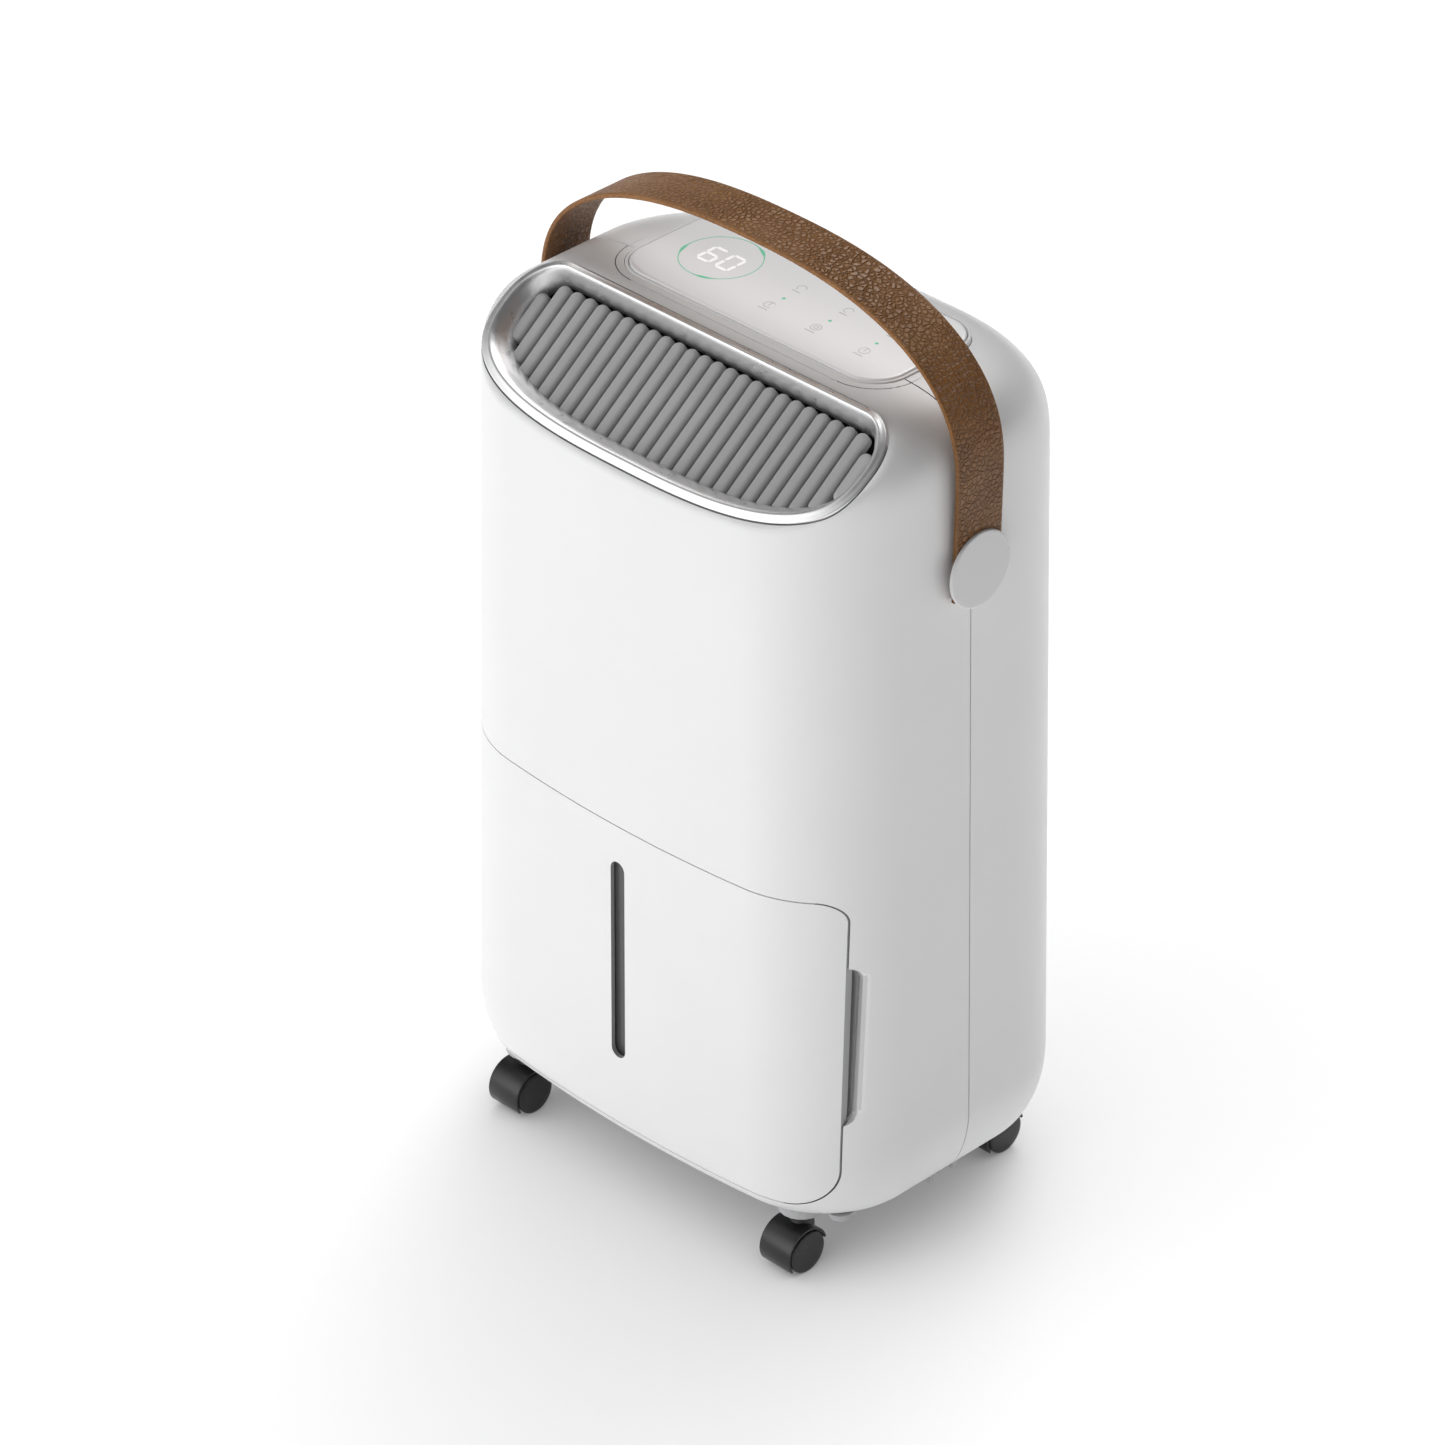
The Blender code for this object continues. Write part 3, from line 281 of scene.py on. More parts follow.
def turned(name, profile, centre, axis, sides=64, finish=None, smooth=40):
    """A turned piece: (radius, distance along the axis) pairs round a line through centre."""
    ax = Vector(axis).normalized()
    c = Vector(centre)
    rings = [circle(c + ax * h, max(r, TURNED_HOLE), ax, sides) for r, h in profile]
    return add(name, loft(rings), finish, smooth)


def remove(*objs):
    for obj in objs:
        bpy.data.objects.remove(obj, do_unlink=True)


def boolean(obj, tool, operation="DIFFERENCE", solver="MANIFOLD", keep=False):
    """Apply one Boolean at once."""
    mod = obj.modifiers.new("cut", "BOOLEAN")
    mod.operation = operation
    mod.object = tool
    mod.solver = solver
    bpy.context.view_layer.update()
    graph = bpy.context.evaluated_depsgraph_get()
    mesh = bpy.data.meshes.new_from_object(obj.evaluated_get(graph))
    obj.modifiers.clear()
    old = obj.data
    obj.data = mesh
    bpy.data.meshes.remove(old)
    if not keep:
        remove(tool)
    return obj


def duplicate(obj, name):
    twin = obj.copy()
    twin.data = obj.data.copy()
    twin.name = name
    bpy.context.scene.collection.objects.link(twin)
    return twin


def bevel(obj, width, segments, angle=30.0):
    """A bevel on the sharp edges, left as a modifier for settle to apply."""
    mod = obj.modifiers.new("bevel", "BEVEL")
    mod.width = width * MM
    mod.segments = segments
    mod.limit_method = "ANGLE"
    mod.angle_limit = radians(angle)
    mod.harden_normals = False
    return obj


def settle(obj, smooth=None):
    """Replace the object's mesh by its evaluated one."""
    bpy.context.view_layer.update()
    graph = bpy.context.evaluated_depsgraph_get()
    mesh = bpy.data.meshes.new_from_object(obj.evaluated_get(graph))
    obj.modifiers.clear()
    obj.data = mesh
    if smooth is not None:
        mesh.shade_smooth()
        mesh.set_sharp_from_angle(angle=radians(smooth))
    return obj


def place(obj, body, *nodes, slot=None):
    """Put a finished piece on its body, in place of the CAD nodes it stands for."""
    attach(obj, body)
    if nodes:
        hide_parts(*nodes)
    return obj


# ---- materials

class Nodes:
    """A short way to write node trees."""

    def __init__(self, name):
        self.mat = bpy.data.materials.new(name)
        self.mat.use_nodes = True
        self.tree = self.mat.node_tree
        self.shader = self.tree.nodes["Principled BSDF"]
        coord = self.tree.nodes.new("ShaderNodeTexCoord")
        self.coord = coord.outputs["Object"]

    def fill(self, made, sockets):
        """Give a node's inputs their values, or link them to the outputs that feed them."""
        for key, value in sockets.items():
            if isinstance(value, bpy.types.NodeSocket):
                self.tree.links.new(value, made.inputs[key])
            else:
                made.inputs[key].default_value = value

    def node(self, kind, sockets, **values):
        made = self.tree.nodes.new("ShaderNode" + kind)
        for key, value in values.items():
            setattr(made, key, value)
        self.fill(made, sockets)
        return made

    def noise(self, scale, detail=3.0, roughness=0.5):
        sockets = {"Scale": scale, "Detail": detail, "Roughness": roughness, "Vector": self.coord}
        return self.node("TexNoise", sockets).outputs["Fac"]

    def spread(self, source, low, high, start=0.3, end=0.7):
        """Map start..end of the source to low..high."""
        sockets = {"Value": source, "From Min": start, "From Max": end, "To Min": low, "To Max": high}
        return self.node("MapRange", sockets).outputs["Result"]

    def ramp(self, source, stops):
        made = self.node("ValToRGB", {"Fac": source})
        points = made.color_ramp.elements
        while len(points) < len(stops):
            points.new(0.5)
        for point, (at, colour) in zip(points, stops):
            point.position = at
            point.color = (*colour, 1.0)
        return made.outputs["Color"]

    def bump(self, source, height, after=None):
        """Relief of this height in metres, on top of the relief in after."""
        sockets = {"Height": source, "Distance": height, "Strength": 1.0}
        if after is not None:
            sockets["Normal"] = after
        return self.node("Bump", sockets).outputs["Normal"]

    def set(self, **values):
        names = {"colour": "Base Color", "roughness": "Roughness", "metallic": "Metallic", "normal": "Normal",
                 "coat": "Coat Weight", "coat_roughness": "Coat Roughness", "specular": "Specular IOR Level",
                 "emission": "Emission Color", "strength": "Emission Strength"}
        self.fill(self.shader, {names[key]: (*value, 1.0) if isinstance(value, tuple) else value
                                for key, value in values.items()})
        return self.mat


def moulded(name, colour, roughness, grain=900.0, grain_height=0.00001, variation=0.02, **extra):
    """Moulded plastic: a fine texture from the tool, and slight cloudiness in colour and gloss."""
    n = Nodes(name)
    cloud = n.noise(14.0, 3.0)
    low = tuple(c * (1.0 - variation) for c in colour)
    high = tuple(min(1.0, c * (1.0 + variation)) for c in colour)
    n.set(colour=n.ramp(cloud, [(0.35, low), (0.65, high)]))
    fine = n.noise(grain, 4.0, 0.6)
    n.set(roughness=n.spread(n.noise(90.0, 4.0), roughness * 0.9, roughness * 1.1))
    n.set(normal=n.bump(fine, grain_height))
    return n.set(**extra)


def metal(name, colour, roughness, brushed=0.0, grain=700.0, height=0.000012, metallic=1.0):
    """Metal with a fine grain; brushed draws the grain out along X."""
    n = Nodes(name)
    streak = n.node("Mapping", {"Scale": (1.0 - 0.95 * brushed, 1.0, 1.0), "Vector": n.coord})
    fine = n.node("TexNoise", {"Scale": grain, "Detail": 4.0, "Vector": streak.outputs["Vector"]})
    tone = n.ramp(n.noise(30.0, 3.0), [(0.3, tuple(c * 0.96 for c in colour)), (0.7, colour)])
    return n.set(colour=tone, metallic=metallic, normal=n.bump(fine.outputs["Fac"], height),
                 roughness=n.spread(fine.outputs["Fac"], roughness * 0.85, roughness * 1.15))


def leather():
    """Pebbled leather: creased cells of about 1.6 mm, with painted shade that darkens the creases and a
    painted highlight that lightens it along the top.
    """
    n = Nodes("brown_leather")
    warp = n.node("TexNoise", {"Scale": 260.0, "Detail": 2.0, "Vector": n.coord})
    shift = {0: warp.outputs["Color"], 1: (0.0022, 0.0022, 0.0022), 2: n.coord}
    shifted = n.node("VectorMath", shift, operation="MULTIPLY_ADD").outputs["Vector"]
    cells = n.node("TexVoronoi", {"Scale": 340.0, "Vector": shifted}, feature="DISTANCE_TO_EDGE")
    crease = n.spread(cells.outputs["Distance"], 0.0, 1.0, 0.0, 0.22)
    patches = n.spread(n.noise(26.0, 3.0), 0.35, 1.0, 0.35, 0.62)
    edge = n.node("Attribute", {}, attribute_name="edge").outputs["Fac"]
    inner = n.node("Math", {0: 1.0, 1: edge}, operation="SUBTRACT").outputs[0]
    depth = n.node("Math", {0: patches, 1: inner}, operation="MULTIPLY").outputs[0]
    relief = n.node("Math", {0: crease, 1: depth}, operation="MULTIPLY").outputs[0]
    grain = n.bump(n.noise(2600.0, 3.0), 0.00002, after=n.bump(relief, 0.0010))
    tone = n.ramp(n.noise(40.0, 5.0, 0.6), [(0.32, (0.180, 0.076, 0.020)), (0.68, (0.232, 0.106, 0.033))])
    # Painted highlight: the colour is raised by up to 1.45 towards the top of the strap, standing in for
    # light from above.
    height = n.node("SeparateXYZ", {0: n.coord}).outputs["Z"]
    top_highlight = n.spread(height, 1.0, 1.45, 0.465, 0.525)
    top_lit_tone = n.node("VectorMath", {0: tone, "Scale": top_highlight}, operation="SCALE").outputs["Vector"]
    # Painted shade: the creases are darkened, standing in for the shade that falls in them.
    shade = n.ramp(crease, [(0.0, (0.74, 0.71, 0.68)), (0.5, (1.0, 1.0, 1.0))])
    dark = n.node("Mix", {0: 1.0, 6: top_lit_tone, 7: shade}, data_type="RGBA", blend_type="MULTIPLY")
    return n.set(colour=dark.outputs[2], roughness=n.spread(crease, 0.58, 0.40, 0.0, 1.0), normal=grain,
                 specular=0.36)


def glowing(name, colour, strength):
    """A lit print or display part."""
    n = Nodes(name)
    tone = n.ramp(n.noise(220.0, 2.0), [(0.3, tuple(c * 0.94 for c in colour)), (0.7, colour)])
    return n.set(colour=tone, roughness=0.35, emission=tone, strength=strength)


WHITE = moulded("white_abs", (0.86, 0.86, 0.862), 0.34, 1500.0, 0.000004, 0.006)
# Painted shade: a slightly darker copy of white_abs, used on the panel's rim.
SHADED_DECK_WHITE = moulded("deck_white_shaded", (0.84, 0.84, 0.845), 0.36, 1500.0, 0.000004, 0.006)
# Painted light: a faint white glow on the panel plate brightens it beyond what the lamps give.
PANEL = moulded("panel_gloss", (0.85, 0.85, 0.855), 0.14, 400.0, 0.000001, 0.008, coat=0.6,
                coat_roughness=0.05, emission=(0.9, 0.9, 0.9), strength=0.07)
SILVER = metal("satin_silver", (0.86, 0.86, 0.865), 0.31, grain=200.0, height=0.0000005, metallic=0.85)
BAR_GREY = moulded("grey_abs", (0.46, 0.46, 0.465), 0.42, 1300.0, 0.00006, 0.05)
LEATHER = leather()
CAP = moulded("cap_grey", (0.72, 0.72, 0.725), 0.30, 1200.0, 0.000004, 0.01)
SMOKED = moulded("smoked_window", (0.075, 0.075, 0.076), 0.22, 300.0, 0.000002, 0.02)
BLACK = moulded("black_nylon", (0.011, 0.011, 0.0115), 0.30, 1100.0, 0.00002, 0.08)
# Painted shade: near-black for the duct and the ribs under the outlet bars, so that the gaps between the bars
# read dark.
DUCT_SHADE = moulded("plenum_painted_shade", (0.010, 0.010, 0.010), 0.8, 800.0, 0.00002, 0.1)
TANK_PP = moulded("tank_polypropylene", (0.34, 0.35, 0.36), 0.42, 700.0, 0.00001, 0.04)
GREY = moulded("grey_abs_plain", (0.45, 0.45, 0.46), 0.50, 1000.0, 0.00003, 0.04)
STEEL = metal("steel", (0.56, 0.57, 0.59), 0.33)
COPPER = metal("copper", (0.80, 0.40, 0.24), 0.30)
FIN = metal("aluminium_fin", (0.78, 0.79, 0.80), 0.38, 0.8)
PAINT = moulded("black_paint", (0.03, 0.03, 0.033), 0.40, 500.0, 0.00004, 0.15)
BOARD = moulded("circuit_board", (0.018, 0.14, 0.06), 0.45, 300.0, 0.00004, 0.25)
FOAM = moulded("white_foam", (0.80, 0.80, 0.76), 0.90, 600.0, 0.0001, 0.03)
MESH = moulded("filter_mesh", (0.10, 0.11, 0.12), 0.80, 700.0, 0.0003, 0.2)
LENS = moulded("display_module", (0.05, 0.055, 0.055), 0.20, 300.0, 0.000004, 0.1)
RUBBER = moulded("rubber", (0.045, 0.045, 0.045), 0.80, 500.0, 0.00005, 0.1)
GREEN = glowing("ring_green", (0.10, 0.52, 0.31), 0.25)
DIGIT = glowing("digit_white", (1.0, 1.0, 1.0), 0.35)
PRINT = moulded("print_grey", (0.46, 0.46, 0.47), 0.30, 300.0, 0.000001, 0.02)
# Painted shade: darker copies of the white plastic for faces where shade falls: the finger recesses' deep
# walls and the ledges behind the seams, the recesses' dishes, the narrow walls of the shells' seams and the
# cut edges of the tank's front.
SHADE = moulded("recess_shade", (0.50, 0.50, 0.505), 0.5, 900.0, 0.00001, 0.03)
DISH_SHADE = moulded("recess_dish_shade", (0.68, 0.68, 0.685), 0.40, 900.0, 0.000006, 0.02)
SEAM_EDGE_SHADE = moulded("seam_shade", (0.16, 0.16, 0.165), 0.5, 900.0, 0.00001, 0.03)
TANK_EDGE_SHADE = moulded("tank_edge_shade", (0.40, 0.40, 0.405), 0.45, 900.0, 0.00001, 0.03)


# ---- housing surface

def rounding(distance, shape):
    """How far a rounded edge has drawn the wall in, at a distance from the end of the housing."""
    inset, height, power = shape
    u = max(0.0, 1.0 - distance / height)
    return inset * (1.0 - (1.0 - u ** power) ** (1.0 / power))


def section(z, offset):
    """Half width, front, back and corner radius of the housing at a height."""
    low = max(0.0, z - (HOUSING_BOTTOM + offset))
    high = max(0.0, (HOUSING_TOP - offset) - z)
    drop = rounding(low, UNDERSIDE)
    half = HALF_WIDTH - SIDE_DRAFT * (z - REFERENCE_Z) - drop - rounding(high, SHOULDER) - offset
    ends = HALF_DEPTH - DEPTH_DRAFT * (z - REFERENCE_Z) - rounding(low, UNDERSIDE_ENDS) - offset
    return half, -ends, ends - rounding(high, BACK_SHOULDER), CORNER_RADIUS - drop - offset


def plan_outline(z, offset):
    """The housing's outline at a height: bulged front, round corners, flat sides and back."""
    half, front, back, radius = section(z, offset)
    flat = half - radius
    tilt = 2.0 * atan(FRONT_BULGE / flat)
    big = flat / sin(tilt) + radius
    crown_y = front + big
    corner_y = crown_y - (big - radius) * cos(tilt)
    start = -90.0 + np.degrees(tilt)
    rear = min(radius, back - corner_y - 1.0)
    points = arc((0.0, crown_y), big, -90.0, start, 16)
    points += arc((flat, corner_y), radius, start, 0.0, 30)[1:]
    straight = np.linspace(corner_y, back - rear, 12)[1:-1]
    points += [(half, y) for y in straight]
    points += arc((half - rear, back - rear), rear, 0.0, 90.0, 30)
    points += [(x, back) for x in np.linspace(half - rear, 0.0, 14)[1:]]
    mirrored = [(-x, y) for x, y in reversed(points[1:-1])]
    return points + mirrored


def heights(offset):
    """Heights of the grid's rows, close together where the housing rounds over."""
    low, high = HOUSING_BOTTOM + offset, HOUSING_TOP - offset
    bottom = [low + UNDERSIDE[1] * (1.0 - cos(pi / 2 * i / 16)) for i in range(17)]
    walls = list(np.linspace(bottom[-1], high - TOP_ROUND, 34)[1:])
    top = [high - TOP_ROUND * (1.0 - sin(pi / 2 * i / 34)) for i in range(1, 35)]
    return bottom + walls + top


FACET_NORMAL = np.array((0.0, -SLOPE, 1.0)) / STRETCH
STAR_CENTRE = np.array((0.0, 25.0, 300.0))
CAP_CENTRE = (0.0, 10.0)


def housing_grid(offset, blend):
    """Rows of points over the housing, from the middle of the base to the middle of the top.

    Points above the outlet's sloping facet are drawn in to it, towards STAR_CENTRE, with a
    smooth blend where the facet meets the rest.
    """
    zs = heights(offset)
    rows = [np.array([(x, y, z) for x, y in plan_outline(z, offset)]) for z in zs]

    def cap(ring, z):
        middle = np.array((*CAP_CENTRE, z))
        return [middle + (ring - middle) * s for s in np.linspace(0.97, 0.04, 26)]

    rows = list(reversed(cap(rows[0], zs[0]))) + rows + cap(rows[-1], zs[-1])
    points = np.array(rows)
    away = points - STAR_CENTRE
    reach = np.linalg.norm(away, axis=2)
    unit = away / reach[..., None]
    anchor = np.array((0.0, SLOPE_Y, HOUSING_TOP))
    height = (anchor - STAR_CENTRE) @ FACET_NORMAL - offset
    facing = unit @ FACET_NORMAL
    plane = np.where(facing > 0.02, height / np.maximum(facing, 0.02), 1e6)
    share = np.clip(0.5 + 0.5 * (plane - reach) / blend, 0.0, 1.0)
    reach = plane * (1 - share) + reach * share - blend * share * (1 - share)
    return STAR_CENTRE + unit * reach[..., None]


def grid_normals(points):
    """Unit normals of the grid's points, from their neighbours."""
    across = np.roll(points, -1, axis=1) - np.roll(points, 1, axis=1)
    along = np.gradient(points, axis=0)
    normals = np.cross(across, along)
    return normals / np.maximum(np.linalg.norm(normals, axis=2), 1e-9)[..., None]


def grid_quads(rows, columns):
    """The point numbers of each quad, for a grid whose rows are closed rings."""
    for j in range(rows - 1):
        for i in range(columns):
            k = (i + 1) % columns
            yield j * columns + i, j * columns + k, (j + 1) * columns + k, (j + 1) * columns + i


def solid_from_grid(name, points):
    """A closed mesh from the grid, with a fan of triangles at each end."""
    rows, columns, _ = points.shape
    verts = [tuple(p) for p in (points.reshape(-1, 3) * MM)]
    base = len(verts)
    verts.append(tuple(points[0].mean(axis=0) * MM))
    verts.append(tuple(points[-1].mean(axis=0) * MM))
    faces = list(grid_quads(rows, columns))
    for i in range(columns):
        k = (i + 1) % columns
        faces.append((base, k, i))
        faces.append((base + 1, (rows - 1) * columns + i, (rows - 1) * columns + k))
    mesh = bpy.data.meshes.new(name)
    mesh.from_pydata(verts, [], faces)
    mesh.update()
    return new_object(name, mesh)


ON_SKIN = 0.00012               # in metres, as Skin measures
ON_INNER_SKIN = 0.00005


class Skin:
    """The uncut housing surface, which lends its smooth normals to the pieces cut from it."""

    def __init__(self, points):
        rows, columns, _ = points.shape
        normals = grid_normals(points)
        normals[:2] = (0, 0, -1)
        normals[-2:] = (0, 0, 1)
        self.points = points.reshape(-1, 3) * MM
        self.normals = normals.reshape(-1, 3)
        self.tris = []
        for a, b, c, d in grid_quads(rows, columns):
            self.tris += [(a, b, c), (a, c, d)]
        self.tree = BVHTree.FromPolygons([tuple(p) for p in self.points], self.tris)

    def at(self, point):
        """Normal and distance of the skin nearest to a point."""
        hit, _, index, distance = self.tree.find_nearest(point)
        ids = self.tris[index]
        a, b, c = (Vector(self.points[i]) for i in ids)
        area = (b - a).cross(c - a).length
        if area < 1e-14:
            return Vector(self.normals[ids[0]]), distance
        wa = (b - hit).cross(c - hit).length / area
        wb = (c - hit).cross(a - hit).length / area
        wc = max(0.0, 1.0 - wa - wb)
        n = wa * self.normals[ids[0]] + wb * self.normals[ids[1]] + wc * self.normals[ids[2]]
        return Vector(n).normalized(), distance


def dress(obj, *skins, finish):
    """Give a cut shell the normals of the skins its faces lie on; other faces stay as they are."""
    mesh = obj.data
    mesh.materials.clear()
    mesh.materials.append(finish)
    mesh.shade_smooth()
    mesh.set_sharp_from_angle(angle=radians(32))
    normals = [Vector(n.vector) for n in mesh.corner_normals]
    cache = {}
    for face in mesh.polygons:
        middle, flat = face.center, face.normal
        for s, skin in enumerate(skins):
            n, gap = skin.at(middle)
            turn = n.dot(flat)
            if gap < ON_SKIN and abs(turn) > 0.85:
                way = 1.0 if turn > 0 else -1.0
                for loop in face.loop_indices:
                    v = mesh.loops[loop].vertex_index
                    key = (v, s, way)
                    if key not in cache:
                        cache[key] = skin.at(mesh.vertices[v].co)[0] * way
                    normals[loop] = cache[key]
                break
    mesh.normals_split_custom_set([tuple(n) for n in normals])


def in_recess(x, y, z):
    """Whether a point of the front shell lies in the region of a finger recess."""
    return 121.0 < x < 146.0 and -92.0 < y < -47.0 and 92.0 < z < 214.0


def shade_cuts(obj, edge, recesses=False):
    """Painted shade: darker materials on the narrow faces of the seams, and on the faces of the finger
    recesses, where shade falls.
    """
    for finish in (edge, DISH_SHADE, SHADE):
        obj.data.materials.append(finish)
    for face in obj.data.polygons:
        x, y, z = abs(face.center.x) / MM, face.center.y / MM, face.center.z / MM
        normal, gap = OUTER_SKIN.at(face.center)
        gap /= MM
        on_outside = gap < 0.15 or (gap < 0.6 and normal.dot(face.normal) > 0.8)
        if on_outside or INNER_SKIN.at(face.center)[1] <= ON_INNER_SKIN:
            continue
        # Painted shade: the recess's deep wall takes the darker grey, its dish a lighter grey.
        if recesses and in_recess(x, y, z):
            face.material_index = 3 if x < RECESS_WALL_X + 0.2 else 2
        elif gap < WALL + 0.3:
            face.material_index = 1


def tank_outline(grow):
    x = TANK_HALF_WIDTH + grow
    top, bottom = TANK_TOP_RADIUS + grow, TANK_BOTTOM_RADIUS + grow
    return rounded_rectangle((-x, x), (TANK_Z[0] - grow, TANK_Z[1] + grow), (bottom, bottom, top, top), 20)


def panel_outline(grow, steps=20):
    x, r = PANEL_HALF_WIDTH + grow, max(1.0, PANEL_RADIUS + grow)
    return rounded_rectangle((-x, x), (PANEL_Y[0] - grow, PANEL_Y[1] + grow), (r, r, r, r), steps)


def slope_matrix():
    """From the outlet's own plane, with its origin on the rear edge, to the housing."""
    return Matrix.Translation((0, SLOPE_Y, HOUSING_TOP)) @ Matrix.Rotation(atan(SLOPE), 4, "X")


def outlet_outline(inset, steps=26):
    """The D-shaped outline in the sloping plane: straight rear edge, curved front edge."""
    wide = OUTLET_HALF_WIDTH - inset
    deep = OUTLET_FRONT_REACH * STRETCH - inset
    corner_x, corner_y = OUTLET_HALF_WIDTH - OUTLET_CORNER, -OUTLET_CORNER * STRETCH
    rear = arc((corner_x, corner_y), (OUTLET_CORNER - inset, OUTLET_CORNER * STRETCH - inset), 0, 90, steps)
    centre_y = (OUTLET_FRONT_Y - SLOPE_Y) * STRETCH
    front = []
    for t in np.linspace(0.0, pi / 2, 2 * steps):
        u, v = sin(t), max(0.0, cos(t))
        scale = (u ** OUTLET_POWER + v ** OUTLET_POWER) ** (-1.0 / OUTLET_POWER)
        front.append((wide * u * scale, centre_y - deep * v * scale))
    side = [(wide, y) for y in np.linspace(front[-1][1], rear[0][1], 3)[1:-1]]
    back = [(x, -inset) for x in np.linspace(corner_x, 0.0, 24)[1:]]
    half = front + side + rear + back
    mirrored = [(-x, y) for x, y in reversed(half[1:-1])]
    return half + mirrored


def slope_prism(name, outline, low, high, finish=None):
    """An outline of the sloping plane carried along that plane's normal."""
    m = slope_matrix()
    rings = [[m @ Vector((x, y, h)) for x, y in outline] for h in (low, high)]
    return add(name, loft(rings), finish)


def recess_cutter(side):
    """Finger recess: a pocket opening sideways, with a rounded dish along its rear and ends."""
    # each station is (x, growth to the rear, growth at the ends)
    stations = [(170.0, 15.0, 11.0), (145.2, 14.0, 10.4), (143.5, 9.9, 8.2), (142.6, 7.8, 6.8),
                (141.7, 6.1, 5.5), (140.9, 4.6, 4.2), (139.9, 3.1, 2.9), (138.7, 1.6, 1.6),
                (137.7, 0.4, 0.4), (RECESS_WALL_X, 0.0, 0.0), (122.0, 0.0, 0.0)]
    rings = []
    for x, grow, ends in stations:
        r = 9.0 + 0.8 * ends
        y = (RECESS_Y[0], RECESS_Y[1] + grow)
        z = (RECESS_Z[0] - 0.6 * ends, RECESS_Z[1] + ends)
        outline = rounded_rectangle(y, z, (2.0, r, r, 2.0), 14)
        rings.append([(side * x, v - RECESS_LEAN * (RECESS_LEAN_Z - w), w) for v, w in outline])
    return add("recess", loft(rings))


def pocket_block(side, limit):
    """The pocket behind the recess, as thick plastic inside the shell."""
    low, high = sorted(side * x for x in POCKET_X)
    outline = rounded_rectangle(POCKET_Y, POCKET_Z, (1.0, 12.0, 12.0, 1.0), 8)
    block = prism("pocket", outline, low, high, "X")
    return boolean(block, limit, "INTERSECT", keep=True)


OUTER_POINTS = housing_grid(0.0, 2.4)
INNER_POINTS = housing_grid(WALL, 3.0)
OUTER_SKIN = Skin(OUTER_POINTS)
INNER_SKIN = Skin(INNER_POINTS)


def cut_common(piece):
    """Openings that cross both shells: panel, handle pins, base, and the line round the panel."""
    boolean(piece, prism("panel_cut", panel_outline(2.6), 470.0, 520.0))
    for side in (-1, 1):
        start, end = (side * 170, SPLIT_Y, PIVOT_Z), (side * 120, SPLIT_Y, PIVOT_Z)
        boolean(piece, rod("pin_cut", PIN_CLEARANCE, start, end))
    boolean(piece, prism("base_cut", base_outline(0.3), 0.0, 60.0))
    groove = prism("line", panel_outline(PANEL_LINE[1]), 470.0, 520.0)
    boolean(groove, prism("line_core", panel_outline(PANEL_LINE[0]), 460.0, 530.0))
    floor = box("line_floor", (-150, 150), (-60, 110), (HOUSING_TOP - 0.7, 530))
    boolean(groove, floor, "INTERSECT")
    boolean(piece, groove)


def cut_back(rear):
    """Openings in the back of the rear shell."""
    intake = rounded_rectangle(INTAKE_X, INTAKE_Z, [INTAKE_RADIUS] * 4, 8)
    boolean(rear, prism("intake_cut", intake, 60, 150, "Y"))
    boolean(rear, box("inlet_cut", INLET_X, (80, 150), INLET_Z))
    boolean(rear, rod("drain_cut", DRAIN_RADIUS, (DRAIN_X, 80, DRAIN_Z), (DRAIN_X, 150, DRAIN_Z)))
    for x in SCREW_X:
        for z in SCREW_Z:
            boolean(rear, rod("screw_cut", SCREW_RADIUS, (x, 80, z), (x, 150, z), 32))


def front_housing(skin):
    """The front shell with its recesses, the tank bay and the outlet."""
    limit = solid_from_grid("limit", housing_grid(WALL - 0.5, 3.0))
    front = duplicate(skin, "front_housing")
    boolean(front, box("half", (-200, 200), (-200, SPLIT_Y - SEAM), (0, 600)), "INTERSECT")
    for side in (-1, 1):
        boolean(front, pocket_block(side, limit), "UNION")
        boolean(front, recess_cutter(side))
    remove(limit)
    bay = prism("bay", tank_outline(SEAM), -160.0, -40.0, "Y")
    boolean(bay, solid_from_grid("core", housing_grid(WALL + 1.0, 3.0)))
    boolean(front, bay)
    boolean(front, slope_prism("outlet", outlet_outline(2.2), -30.0, 30.0))
    boolean(front, slope_prism("outlet_gap", outlet_outline(0.0), -1.0, 30.0))
    return front


def tank_face(outer):
    """The tank's front wall, cut from the housing's surface, with the slot for the window."""
    tank = prism("tank_face", tank_outline(-SEAM), -160.0, -40.0, "Y")
    boolean(tank, outer, "INTERSECT", keep=True)
    boolean(tank, solid_from_grid("tank_back", housing_grid(WALL + 0.2, 3.0)))
    boolean(tank, prism("slot", stadium(WINDOW_HALF_WIDTH, *WINDOW_Z), -160.0, -80.0, "Y"))
    return tank


